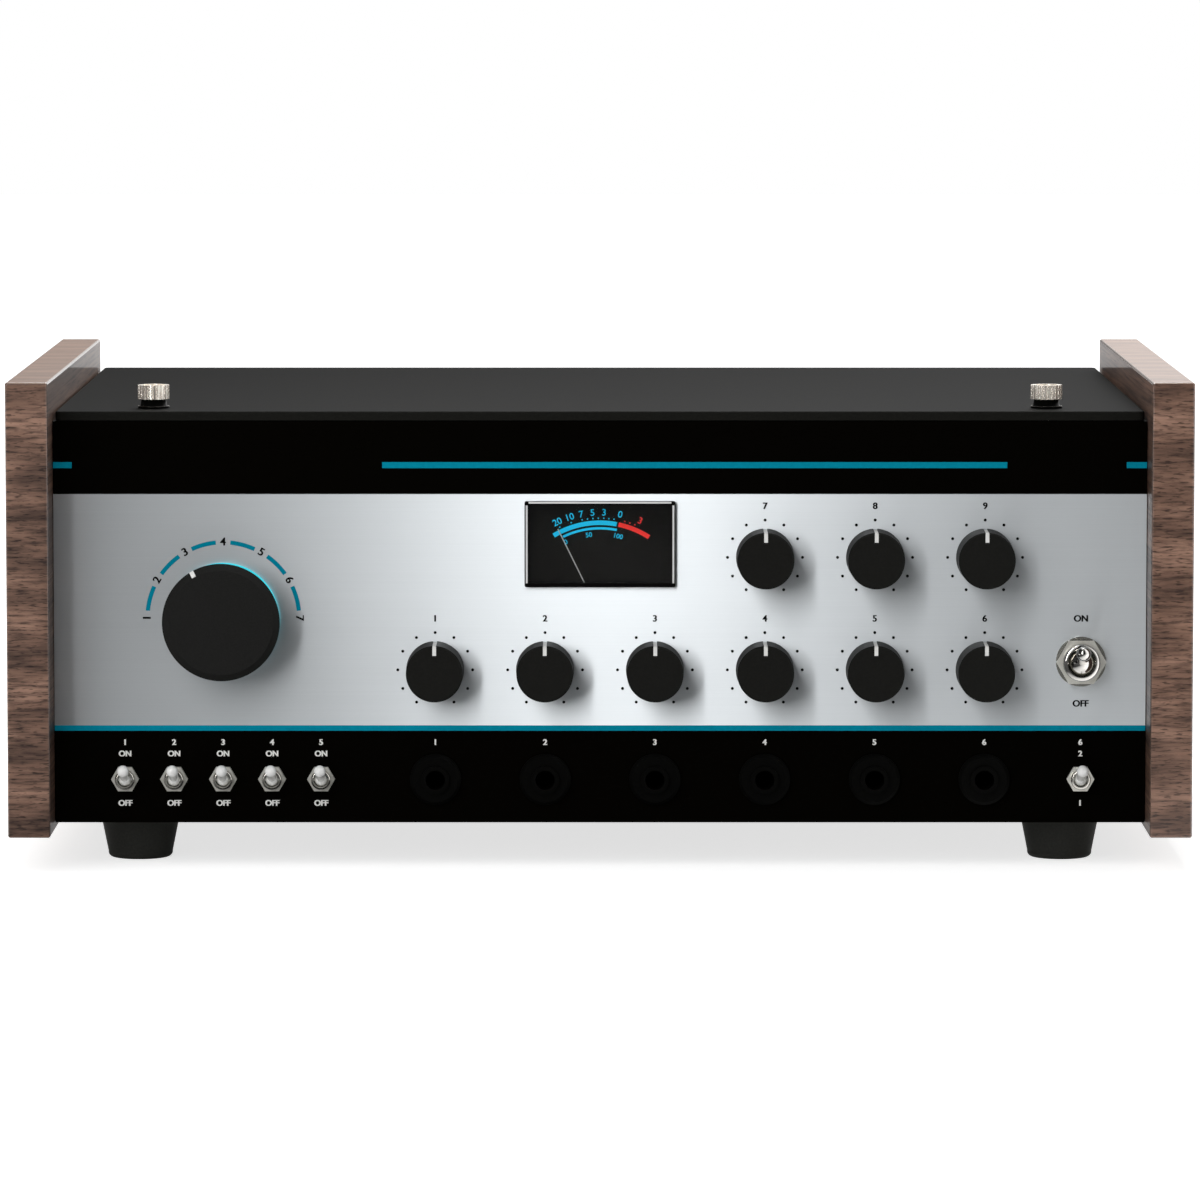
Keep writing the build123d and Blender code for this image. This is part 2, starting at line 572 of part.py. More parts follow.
# ======================================================================= toggle switches
TOGGLE_FRONT, TOGGLE_PIVOT_Y, TOGGLE_BALL_R, TOGGLE_BORE_R = -118.2, -116.0, 2.2, 2.5
TOGGLE_TILT = 20.0
POWER_FRONT, POWER_PIVOT_Y, POWER_BALL_R, POWER_BORE_R = -120.5, -117.8, 4.55, 4.9
POWER_TILT = 19.0
TOGGLE_BODY_BACK, TOGGLE_BODY_WIDE, TOGGLE_BODY_HIGH = -102.5, 7.0, 12.7
POWER_BODY_BACK, POWER_BODY_WIDE, POWER_BODY_HIGH = -90.0, 17.0, 28.0
TERMINAL_LONG, TERMINAL_WIDE, TERMINAL_THICK, TERMINAL_PITCH = 5.0, 2.0, 0.8, 4.7
TOGGLE_WELL, POWER_WELL = -113.2, -112.6  # floors of the bores that the balls sit in
TOGGLE_PIN, POWER_PIN = (0.5, 2.4), (1.0, 4.75)  # radius and half length

with BuildPart() as toggle_switches:
    with BuildSketch(facing(TOGGLE_BODY_BACK)):
        with Locations(*TOGGLE_PLACES.values()):
            Rectangle(TOGGLE_BODY_WIDE, TOGGLE_BODY_HIGH)
    extrude(amount=TOGGLE_BODY_BACK - PANEL_BACK)
    with BuildSketch(facing(POWER_BODY_BACK)):
        with Locations((POWER_X, POWER_Z)):
            Rectangle(POWER_BODY_WIDE, POWER_BODY_HIGH)
    extrude(amount=POWER_BODY_BACK - PANEL_BACK)
    with BuildSketch(facing(TOGGLE_BODY_BACK + TERMINAL_LONG)):  # three on each small switch
        for toggle_x, toggle_z in TOGGLE_PLACES.values():
            with Locations(*[(toggle_x, toggle_z + i * TERMINAL_PITCH) for i in (-1, 0, 1)]):
                Rectangle(TERMINAL_WIDE, TERMINAL_THICK)
    extrude(amount=TERMINAL_LONG)
    with BuildSketch(facing(PANEL_BACK)):
        with Locations(*TOGGLE_PLACES.values()):
            Circle(TOGGLE_BUSH_R)
    extrude(amount=PANEL_BACK - TOGGLE_FRONT)
    with BuildSketch(facing(TOGGLE_WELL)):
        with Locations(*TOGGLE_PLACES.values()):
            Circle(TOGGLE_BORE_R)
    extrude(amount=TOGGLE_WELL - TOGGLE_FRONT, mode=Mode.SUBTRACT)
    with BuildSketch(facing(PANEL_BACK)):
        with Locations((POWER_X, POWER_Z)):
            Circle(POWER_BUSH_R)
    extrude(amount=PANEL_BACK - POWER_FRONT)
    with BuildSketch(facing(POWER_WELL)):
        with Locations((POWER_X, POWER_Z)):
            Circle(POWER_BORE_R)
    extrude(amount=POWER_WELL - POWER_FRONT, mode=Mode.SUBTRACT)
save(toggle_switches, "toggle_switches")


def make_lever(name, pivot, tilt, ball_r, pin, neck_r, tip_r, reach):
    """Bat lever on its pivot ball, tilted up from straight out by tilt degrees.
    pin is the radius and the half length of the pivot pin across the ball."""
    c, s = cos(radians(tilt)), sin(radians(tilt))
    pin_r, pin_half = pin
    lean = Plane(origin=pivot, x_dir=(1, 0, 0), z_dir=(0, -s, -c))
    neck_start = sqrt(ball_r**2 - neck_r**2)
    tip_centre = reach - tip_r
    with BuildPart() as lever:
        with BuildSketch(lean):
            with BuildLine():
                ThreePointArc((0, -ball_r), (ball_r, 0), (neck_r, neck_start))
                Line((neck_r, neck_start), (tip_r, tip_centre))
                CenterArc((0, tip_centre), tip_r, 0, 90)
                Line((0, reach), (0, -ball_r))
            make_face()
        revolve(axis=Axis(pivot, (0, -c, s)))
        with BuildSketch(Plane.YZ.offset(pivot[0] - pin_half)):
            with Locations(pivot[1:]):
                Circle(pin_r)
        extrude(amount=2 * pin_half)
    save(lever, name)


for lever_name, (lever_x, lever_z) in TOGGLE_PLACES.items():
    make_lever(
        lever_name,
        (lever_x, TOGGLE_PIVOT_Y, lever_z),
        TOGGLE_TILT,
        TOGGLE_BALL_R,
        TOGGLE_PIN,
        neck_r=1.25,
        tip_r=1.95,
        reach=13.4,
    )
make_lever(
    "lever_power",
    (POWER_X, POWER_PIVOT_Y, POWER_Z),
    POWER_TILT,
    POWER_BALL_R,
    POWER_PIN,
    neck_r=1.9,
    tip_r=2.45,
    reach=14.6,
)

# ======================================================================= jack sockets
JACK_BORE_R, JACK_BORE_END = 3.2, -88.0
JACK_FRONT, JACK_NUT_R, JACK_NUT_HIGH, JACK_NUT_CHAMFER = -117.4, 8.5, 2.2, 1.0
JACK_BODY_BACK, JACK_BODY_WIDE, JACK_BODY_HIGH = -86.0, 16.0, 18.0
with BuildPart() as jack_sockets:
    with BuildSketch(facing(JACK_BODY_BACK)):
        with Locations(*JACK_PLACES):
            Rectangle(JACK_BODY_WIDE, JACK_BODY_HIGH)
    extrude(amount=JACK_BODY_BACK - PANEL_BACK)
    with BuildSketch(facing(PANEL_BACK)):
        with Locations(*JACK_PLACES):
            Circle(JACK_BUSH_R)
    extrude(amount=PANEL_BACK - JACK_FRONT)
    with BuildSketch(facing(JACK_BORE_END)):
        with Locations(*JACK_PLACES):
            Circle(JACK_BORE_R)
    extrude(amount=JACK_BORE_END - JACK_FRONT, mode=Mode.SUBTRACT)
save(jack_sockets, "jack_sockets")

with BuildPart() as jack_nuts:
    with BuildSketch(facing(PANEL_FACE)):
        with Locations(*JACK_PLACES):
            Circle(JACK_NUT_R)
            Circle(JACK_BUSH_R, mode=Mode.SUBTRACT)
    extrude(amount=JACK_NUT_HIGH)
    nut_fronts = jack_nuts.faces().group_by(Axis.Y)[0].edges()
    outer_rims = nut_fronts.filter_by(lambda e: abs(e.radius - JACK_NUT_R) < 0.01)
    chamfer(outer_rims, length=JACK_NUT_CHAMFER)
save(jack_nuts, "jack_nuts")

# ======================================================================= level meter
BEZEL_FRONT, BEZEL_CORNER_R = -115.5, 0.6
METER_BACK, METER_LOW, METER_TOP = -90.0, 76.0, 122.5
METER_HALF, METER_WALL = 25.2, 1.2
meter_middle = (0, (METER_LOW + METER_TOP) / 2)
WINDOW_WIDE, WINDOW_HIGH = 47.8, 26.2
with BuildPart() as vu_meter_case:
    with BuildSketch(facing(METER_BACK)):
        with Locations(meter_middle):
            Rectangle(2 * METER_HALF, METER_TOP - METER_LOW)
    extrude(amount=METER_BACK - PANEL_BACK)
    with BuildSketch(facing(PANEL_BACK)):
        with Locations((0, METER_Z)):
            Rectangle(NECK_WIDE, NECK_HIGH)
    extrude(amount=PANEL_BACK - PANEL_FACE)
    with BuildSketch(facing(PANEL_FACE)):
        with Locations((0, METER_Z)):
            RectangleRounded(METER_WIDE, METER_HIGH, BEZEL_CORNER_R)
    extrude(amount=PANEL_FACE - BEZEL_FRONT)
    with BuildSketch(facing(METER_BACK - METER_WALL)):
        with Locations(meter_middle):
            Rectangle(2 * (METER_HALF - METER_WALL), METER_TOP - METER_LOW - 2 * METER_WALL)
    extrude(amount=METER_BACK - PANEL_BACK - 2 * METER_WALL, mode=Mode.SUBTRACT)
    with BuildSketch(facing(PANEL_BACK + METER_WALL)):
        with Locations((0, METER_Z)):
            Rectangle(WINDOW_WIDE, WINDOW_HIGH)
    extrude(amount=PANEL_BACK + METER_WALL - BEZEL_FRONT, mode=Mode.SUBTRACT)
save(vu_meter_case, "vu_meter_case")

WINDOW_BACK, WINDOW_THICK = -113.4, 1.5
with BuildPart() as vu_meter_window:
    with BuildSketch(facing(WINDOW_BACK)):
        with Locations((0, METER_Z)):
            Rectangle(WINDOW_WIDE, WINDOW_HIGH)
    extrude(amount=WINDOW_THICK)
save(vu_meter_window, "vu_meter_window")

DIAL_LOW, DIAL_TOP = 90.0, 121.2
DIAL_BACK, DIAL_THICK = -107.2, 0.8
with BuildPart() as vu_dial:
    with BuildSketch(facing(DIAL_BACK)):
        with Locations((0, (DIAL_LOW + DIAL_TOP) / 2)):
            Rectangle(2 * (METER_HALF - METER_WALL), DIAL_TOP - DIAL_LOW)
    extrude(amount=DIAL_THICK)
save(vu_dial, "vu_dial")

NEEDLE_FRONT, NEEDLE_BACK, NEEDLE_WIDE = -109.6, -109.2, 0.35
HUB_R, TAIL_LONG, TAIL_WIDE = 2.0, 6.0, 1.6
SPINDLE_R, SPINDLE_BACK = 1.2, -106.0
COIL_BACK, COIL_SIDE = -97.0, 6.0
with BuildPart() as vu_needle:
    hub = (0, NEEDLE_PIVOT_Z)
    with BuildSketch(facing(NEEDLE_BACK)):
        with Locations(hub):
            Circle(HUB_R)
            with PolarLocations(0, 1, start_angle=90 + NEEDLE_REST):
                with Locations((NEEDLE_REACH / 2, 0)):
                    Rectangle(NEEDLE_REACH, NEEDLE_WIDE)
                with Locations((-TAIL_LONG / 2, 0)):  # balance weight
                    Rectangle(TAIL_LONG, TAIL_WIDE)
    extrude(amount=NEEDLE_BACK - NEEDLE_FRONT)
    with BuildSketch(facing(SPINDLE_BACK)):
        with Locations(hub):
            Circle(SPINDLE_R)
    extrude(amount=SPINDLE_BACK - NEEDLE_BACK)
    with BuildSketch(facing(COIL_BACK)):
        with Locations(hub):
            Rectangle(COIL_SIDE, COIL_SIDE)
    extrude(amount=COIL_BACK - SPINDLE_BACK)
save(vu_needle, "vu_needle")

# ======================================================================= deck
BEARING_R = 7.0
DECK_HALF = 178.8
with BuildPart() as deck_plate:
    with BuildSketch(level(DECK_UNDER)):
        with Locations((0, (DECK_FRONT + DECK_BACK) / 2)):
            Rectangle(2 * DECK_HALF, DECK_BACK - DECK_FRONT)
        with Locations(*DECK_SCREW_PLACES):
            Circle(SCREW_HOLE_R, mode=Mode.SUBTRACT)
        with Locations((CAPSTAN_X, CAPSTAN_Y)):
            Circle(BEARING_R, mode=Mode.SUBTRACT)
    extrude(amount=DECK_TOP - DECK_UNDER)
save(deck_plate, "deck_plate")

TRAY_LEFT, TRAY_RIGHT, TRAY_FRONT, TRAY_BACK = -132.0, 122.5, -32.0, 108.0
TRAY_FLOOR, TRAY_RIM, TRAY_WALL = DECK_TOP + 1.2, 130.0, 1.5
TRAY_CORNER_R, TAPE_SLOT = 4.0, 5.0
tray_middle = ((TRAY_LEFT + TRAY_RIGHT) / 2, (TRAY_FRONT + TRAY_BACK) / 2)
with BuildPart() as tape_tray:
    with BuildSketch(level(DECK_TOP)):
        with Locations(tray_middle):
            RectangleRounded(TRAY_RIGHT - TRAY_LEFT, TRAY_BACK - TRAY_FRONT, TRAY_CORNER_R)
    extrude(amount=TRAY_RIM - DECK_TOP)
    with BuildSketch(level(TRAY_FLOOR)):
        with Locations(tray_middle):
            RectangleRounded(
                TRAY_RIGHT - TRAY_LEFT - 2 * TRAY_WALL,
                TRAY_BACK - TRAY_FRONT - 2 * TRAY_WALL,
                TRAY_CORNER_R - TRAY_WALL,
            )
    extrude(amount=TRAY_RIM - TRAY_FLOOR, mode=Mode.SUBTRACT)
    with BuildSketch(level(TRAY_FLOOR)):  # the slots that the tape runs in and out by
        with Locations((TRAY_LEFT, TAPE_REAR_Y), (TRAY_RIGHT, TAPE_REAR_Y)):
            Rectangle(3 * TRAY_WALL, TAPE_SLOT)
    extrude(amount=TRAY_RIM - TRAY_FLOOR, mode=Mode.SUBTRACT)
save(tape_tray, "tape_tray")

FOLDS, FOLD_PITCH, FIRST_FOLD_X = 12, 20.0, 108.0
FRONT_FOLD_Y, REAR_FOLD_Y, FOLD_SWAY = -14.0, 84.0, 7.5


def tape_route():
    """Corners of the endless tape: along the heads, round the guides, folded in the tray."""
    corners = [(TAPE_LEFT_X, TAPE_RUN_Y), (TAPE_RIGHT_X, TAPE_RUN_Y), (TAPE_RIGHT_X, TAPE_REAR_Y)]
    height = TAPE_REAR_Y
    for i in range(FOLDS):
        fold_x = FIRST_FOLD_X - FOLD_PITCH * i
        corners.append((fold_x, height))
        if i == FOLDS - 1:  # the last fold runs back to the guide
            height = TAPE_REAR_Y
        elif i % 2 == 0:
            height = FRONT_FOLD_Y + FOLD_SWAY * sin(1.9 * i)
        else:
            height = REAR_FOLD_Y + FOLD_SWAY * sin(2.3 * i)
        corners.append((fold_x, height))
    corners.append((TAPE_LEFT_X, TAPE_REAR_Y))
    return corners


with BuildPart() as tape_loop:
    with BuildSketch(level(TAPE_LOW)):
        with BuildLine():
            Polyline(*tape_route(), close=True)
        outline = make_face()
        fillet(outline.vertices(), radius=TAPE_TURN)
        offset(amount=-TAPE_THICK, mode=Mode.SUBTRACT)
    extrude(amount=TAPE_WIDE)
save(tape_loop, "tape_loop")

HEAD_X = [-105.0, -72.0, -39.0, -6.0, 27.0, 60.0]
HEAD_FACE_Y = TAPE_RUN_Y + TAPE_CLEAR
HEAD_R, HEAD_BLOCK, HEAD_HIGH = 6.5, 10.0, 9.0  # each head is a block with a round nose
BASE_LONG, BASE_WIDE, BASE_THICK, BASE_CORNER_R = 190.0, 20.0, 2.0, 3.0
with BuildPart() as tape_heads:
    with BuildSketch(level(DECK_TOP + BASE_THICK)):
        with Locations(*[(x, HEAD_FACE_Y + HEAD_BLOCK) for x in HEAD_X]):
            Rectangle(2 * HEAD_R, HEAD_BLOCK)
        with Locations(*[(x, HEAD_FACE_Y + HEAD_R) for x in HEAD_X]):
            Circle(HEAD_R)
    extrude(amount=HEAD_HIGH)
save(tape_heads, "tape_heads")

with BuildPart() as head_base:
    with BuildSketch(level(DECK_TOP)):
        with Locations(((HEAD_X[0] + HEAD_X[-1]) / 2, HEAD_FACE_Y + BASE_WIDE / 2 + 2)):
            RectangleRounded(BASE_LONG, BASE_WIDE, BASE_CORNER_R)
    extrude(amount=BASE_THICK)
save(head_base, "head_base")

GUIDE_R, GUIDE_HIGH = TAPE_TURN - TAPE_THICK - GAP, 10.0
POST_R, POST_PIN_R = 3.5, 2.0
guide_places = [
    (x, y)
    for x in (TAPE_LEFT_X + TAPE_TURN, TAPE_RIGHT_X - TAPE_TURN)
    for y in (TAPE_RUN_Y + TAPE_TURN, TAPE_REAR_Y - TAPE_TURN)
]
with BuildPart() as tape_guides:
    with BuildSketch(level(DECK_TOP)):
        with Locations(*guide_places):
            Circle(GUIDE_R)
    extrude(amount=GUIDE_HIGH)
    with BuildSketch(level(DECK_TOP)):  # the post that carries the pinch arm
        with Locations((ARM_X, ARM_Y)):
            Circle(POST_R)
    extrude(amount=ARM_LOW - GAP - DECK_TOP)
    with BuildSketch(level(DECK_TOP)):
        with Locations((ARM_X, ARM_Y)):
            Circle(POST_PIN_R)
    extrude(amount=ARM_TOP + 1.0 - DECK_TOP)
save(tape_guides, "tape_guides")

# ======================================================================= capstan drive
SHAFT_LOW, CAPSTAN_TOP, CAPSTAN_CHAMFER = 88.0, 126.0, 0.5
with BuildPart() as capstan_shaft:
    with BuildSketch(level(SHAFT_LOW)):
        with Locations((CAPSTAN_X, CAPSTAN_Y)):
            Circle(CAPSTAN_R)
    extrude(amount=CAPSTAN_TOP - SHAFT_LOW)
    chamfer(capstan_shaft.edges().group_by(Axis.Z)[-1], length=CAPSTAN_CHAMFER)
save(capstan_shaft, "capstan_shaft")

WEB_OUTER_R, WEB_INNER_R, WEB_DISH = 25.0, 9.0, 2.0
with BuildPart() as flywheel:
    with BuildSketch(level(FLYWHEEL_LOW)):
        with Locations((CAPSTAN_X, CAPSTAN_Y)):
            Circle(FLYWHEEL_R)
            Circle(CAPSTAN_R, mode=Mode.SUBTRACT)
    extrude(amount=FLYWHEEL_TOP - FLYWHEEL_LOW)
    with BuildSketch(level(FLYWHEEL_TOP)):  # dished web
        with Locations((CAPSTAN_X, CAPSTAN_Y)):
            Circle(WEB_OUTER_R)
            Circle(WEB_INNER_R, mode=Mode.SUBTRACT)
    extrude(amount=-WEB_DISH, mode=Mode.SUBTRACT)
save(flywheel, "flywheel")

STRAP_HALF, STRAP_WIDE, STRAP_THICK = 38.0, 14.0, 2.0
BEARING_LOW, BEARING_FLANGE_R, BEARING_FLANGE = 109.0, 9.0, 1.0
with BuildPart() as capstan_bearing:
    with BuildSketch(level(BEARING_LOW)):
        with Locations((CAPSTAN_X, CAPSTAN_Y)):
            Circle(BEARING_R)
            Circle(CAPSTAN_R + RUNNING, mode=Mode.SUBTRACT)
    extrude(amount=DECK_TOP - BEARING_LOW)
    with BuildSketch(level(DECK_TOP)):
        with Locations((CAPSTAN_X, CAPSTAN_Y)):
            Circle(BEARING_FLANGE_R)
            Circle(CAPSTAN_R + RUNNING, mode=Mode.SUBTRACT)
    extrude(amount=BEARING_FLANGE)
    with BuildSketch(level(SHAFT_LOW)):  # strap under the flywheel that holds the foot bearing
        with Locations((CAPSTAN_X, CAPSTAN_Y)):
            Rectangle(2 * STRAP_HALF, STRAP_WIDE)
            Circle(CAPSTAN_R + RUNNING, mode=Mode.SUBTRACT)
    extrude(amount=STRAP_THICK)
    with BuildSketch(level(SHAFT_LOW)):
        for side in (-1, 1):
            with Locations((CAPSTAN_X + side * (STRAP_HALF - STRAP_THICK / 2), CAPSTAN_Y)):
                Rectangle(STRAP_THICK, STRAP_WIDE)
    extrude(amount=DECK_UNDER - SHAFT_LOW)
save(capstan_bearing, "capstan_bearing")

MOTOR_R, MOTOR_LOW, MOTOR_TOP, MOTOR_ROUND = 18.0, 55.0, 94.0, 2.0
PLATE_LONG, PLATE_WIDE, PLATE_THICK, PLATE_CORNER_R = 48.0, 44.0, 2.0, 4.0
PILLAR_R, PILLAR_PITCH = 2.5, (34.0, 38.0)
MOTOR_SHAFT_R, MOTOR_HOLE_R = 2.0, 2.4
plate_middle = (MOTOR_X - 4, MOTOR_Y)
with BuildPart() as drive_motor:
    with BuildSketch(level(MOTOR_LOW)):
        with Locations((MOTOR_X, MOTOR_Y)):
            Circle(MOTOR_R)
    extrude(amount=MOTOR_TOP - MOTOR_LOW)
    fillet(drive_motor.edges().group_by(Axis.Z)[0], radius=MOTOR_ROUND)
    with BuildSketch(level(MOTOR_TOP)):
        with Locations(plate_middle):
            RectangleRounded(PLATE_WIDE, PLATE_LONG, PLATE_CORNER_R)
        with Locations((MOTOR_X, MOTOR_Y)):
            Circle(MOTOR_HOLE_R, mode=Mode.SUBTRACT)
    extrude(amount=PLATE_THICK)
    with BuildSketch(level(MOTOR_TOP)):
        with Locations(plate_middle):
            with GridLocations(*PILLAR_PITCH, 2, 2):
                Circle(PILLAR_R)
    extrude(amount=DECK_UNDER - MOTOR_TOP)
save(drive_motor, "drive_motor")

with BuildPart() as motor_pulley:
    with BuildSketch(level(FLYWHEEL_LOW - 1)):
        with Locations((MOTOR_X, MOTOR_Y)):
            Circle(PULLEY_R)
    extrude(amount=FLYWHEEL_TOP - FLYWHEEL_LOW + 1)
    with BuildSketch(level(MOTOR_TOP + GAP)):
        with Locations((MOTOR_X, MOTOR_Y)):
            Circle(MOTOR_SHAFT_R)
    extrude(amount=FLYWHEEL_LOW - MOTOR_TOP)
save(motor_pulley, "motor_pulley")

BELT_LOW, BELT_HIGH, BELT_THICK = 102.5, 3.0, 0.8
with BuildPart() as drive_belt:
    with BuildSketch(level(BELT_LOW)):
        with Locations((MOTOR_X, MOTOR_Y)):
            Circle(PULLEY_R + GAP + BELT_THICK)
        with Locations((CAPSTAN_X, CAPSTAN_Y)):
            Circle(FLYWHEEL_R + GAP + BELT_THICK)
        make_hull()
    extrude(amount=BELT_HIGH)
    with BuildSketch(level(BELT_LOW)):
        with Locations((MOTOR_X, MOTOR_Y)):
            Circle(PULLEY_R + GAP)
        with Locations((CAPSTAN_X, CAPSTAN_Y)):
            Circle(FLYWHEEL_R + GAP)
        make_hull()
    extrude(amount=BELT_HIGH, mode=Mode.SUBTRACT)
save(drive_belt, "drive_belt")

# ======================================================================= pinch roller
ROLLER_LOW, ROLLER_TOP, AXLE_R, TAIL_PIN_R, TAIL_LOW = 117.4, 126.2, 2.0, 1.5, 120.0
ARM_END_R, TAIL_WIDTH = 5.0, 8.0
with BuildPart() as pinch_arm:
    with BuildSketch(level(ARM_LOW)):
        with Locations((ARM_X, ARM_Y)):
            Circle(ARM_END_R)
        with Locations((CAPSTAN_X, ROLLER_Y)):
            Circle(ARM_END_R)
        make_hull()
        with Locations((ARM_X, (ARM_Y + TAIL_Y) / 2)):
            SlotCenterToCenter(TAIL_Y - ARM_Y, TAIL_WIDTH, rotation=90)
        with Locations((ARM_X, ARM_Y)):
            Circle(POST_PIN_R + RUNNING, mode=Mode.SUBTRACT)
    extrude(amount=ARM_TOP - ARM_LOW)
    with BuildSketch(level(ROLLER_LOW)):
        with Locations((CAPSTAN_X, ROLLER_Y)):
            Circle(AXLE_R)
    extrude(amount=ARM_LOW - ROLLER_LOW)
    with BuildSketch(level(TAIL_LOW)):
        with Locations((ARM_X, TAIL_Y)):
            Circle(TAIL_PIN_R)
    extrude(amount=ARM_LOW - TAIL_LOW)
save(pinch_arm, "pinch_arm")

with BuildPart() as pinch_roller:
    with BuildSketch(level(ROLLER_LOW)):
        with Locations((CAPSTAN_X, ROLLER_Y)):
            Circle(ROLLER_R)
            Circle(AXLE_R + RUNNING, mode=Mode.SUBTRACT)
    extrude(amount=ROLLER_TOP - ROLLER_LOW)
save(pinch_roller, "pinch_roller")

SOLENOID_LEFT, SOLENOID_RIGHT, ROD_R = 158.5, 177.0, 3.0
SOLENOID_WIDE, SOLENOID_HIGH = 18.0, 16.0
with BuildPart() as solenoid:
    with BuildSketch(Plane.YZ.offset(SOLENOID_LEFT)):
        with Locations((TAIL_Y, DECK_TOP + SOLENOID_HIGH / 2)):
            Rectangle(SOLENOID_WIDE, SOLENOID_HIGH)
        with Locations((TAIL_Y, ROD_Z)):
            Circle(ROD_R + GAP, mode=Mode.SUBTRACT)
    extrude(amount=SOLENOID_RIGHT - SOLENOID_LEFT)
save(solenoid, "solenoid")

CLEVIS_LEFT, CLEVIS_RIGHT, CLEVIS_WIDE, CLEVIS_HIGH = 147.5, 156.0, 10.0, 5.0
CLEVIS_SLOT, ROD_SPARE = 5.4, 2.0
with BuildPart() as solenoid_plunger:
    with BuildSketch(level(TAIL_LOW)):
        with Locations(((CLEVIS_LEFT + CLEVIS_RIGHT) / 2, TAIL_Y)):
            Rectangle(CLEVIS_RIGHT - CLEVIS_LEFT, CLEVIS_WIDE)
        with Locations((ARM_X, TAIL_Y)):
            SlotOverall(CLEVIS_SLOT, 2 * (TAIL_PIN_R + GAP), rotation=90, mode=Mode.SUBTRACT)
    extrude(amount=CLEVIS_HIGH)
    with BuildSketch(Plane.YZ.offset(CLEVIS_RIGHT)):
        with Locations((TAIL_Y, ROD_Z)):
            Circle(ROD_R)
    extrude(amount=SOLENOID_RIGHT - ROD_SPARE - CLEVIS_RIGHT)
save(solenoid_plunger, "solenoid_plunger")

# ======================================================================= inside, under the deck
FLOOR_TOP = CASE_BOTTOM + SHEET
TANK_X, TANK_Y = -34.0, 86.0
TANK_LONG, TANK_WIDE, TANK_HIGH, TANK_WALL = 222.0, 64.0, 32.0, 1.2
SPRING_HALF, SPRING_R, SPRING_PITCH, SPRING_Z = 90.0, 2.6, 14.0, 34.0
TRANSDUCER_X, TRANSDUCER_THICK, TRANSDUCER_WIDE, TRANSDUCER_HIGH = 96.0, 16.0, 44.0, 24.0
with BuildPart() as reverb_tank:
    with BuildSketch(level(FLOOR_TOP)):
        with Locations((TANK_X, TANK_Y)):
            Rectangle(TANK_LONG, TANK_WIDE)
    extrude(amount=TANK_HIGH)
    with BuildSketch(level(FLOOR_TOP + TANK_WALL)):
        with Locations((TANK_X, TANK_Y)):
            Rectangle(TANK_LONG - 2 * TANK_WALL, TANK_WIDE - 2 * TANK_WALL)
    extrude(amount=TANK_HIGH, mode=Mode.SUBTRACT)
    with BuildSketch(Plane.YZ.offset(TANK_X - SPRING_HALF)):  # the springs, as their outer shape
        with Locations(*[(TANK_Y + i * SPRING_PITCH, SPRING_Z) for i in (-1, 0, 1)]):
            Circle(SPRING_R)
    extrude(amount=2 * SPRING_HALF)
    with BuildSketch(level(FLOOR_TOP + TANK_WALL)):  # drive and pick-up transducers
        with Locations((TANK_X - TRANSDUCER_X, TANK_Y), (TANK_X + TRANSDUCER_X, TANK_Y)):
            Rectangle(TRANSDUCER_THICK, TRANSDUCER_WIDE)
    extrude(amount=TRANSDUCER_HIGH)
save(reverb_tank, "reverb_tank")

BOARD_X, BOARD_Y, BOARD_LOW, BOARD_TOP = -50.0, -16.0, 24.0, 25.6
BOARD_LONG, BOARD_WIDE, BOARD_EDGE, SPACER_R = 230.0, 120.0, 7.0, 3.0
CAPACITOR_R, CAPACITOR_HIGH, CAPACITOR_PITCH = 8.0, 25.0, 22.0
CHIP_LONG, CHIP_WIDE, CHIP_HIGH, CHIP_PITCH = 10.0, 7.0, 3.5, 24.0
with BuildPart() as circuit_board:
    with BuildSketch(level(BOARD_LOW)):
        with Locations((BOARD_X, BOARD_Y)):
            Rectangle(BOARD_LONG, BOARD_WIDE)
    extrude(amount=BOARD_TOP - BOARD_LOW)
    with BuildSketch(level(FLOOR_TOP)):
        with Locations((BOARD_X, BOARD_Y)):
            with GridLocations(BOARD_LONG - 2 * BOARD_EDGE, BOARD_WIDE - 2 * BOARD_EDGE, 2, 2):
                Circle(SPACER_R)
    extrude(amount=BOARD_LOW - FLOOR_TOP)
    with BuildSketch(level(BOARD_TOP)):  # electrolytic capacitors
        with Locations((BOARD_X + 80, BOARD_Y + 20)):
            with GridLocations(CAPACITOR_PITCH, CAPACITOR_PITCH, 3, 3):
                Circle(CAPACITOR_R)
    extrude(amount=CAPACITOR_HIGH)
    with BuildSketch(level(BOARD_TOP)):  # integrated circuits
        with Locations((BOARD_X - 50, BOARD_Y)):
            with GridLocations(CHIP_PITCH, CHIP_PITCH, 5, 4):
                Rectangle(CHIP_LONG, CHIP_WIDE)
    extrude(amount=CHIP_HIGH)
save(circuit_board, "circuit_board")

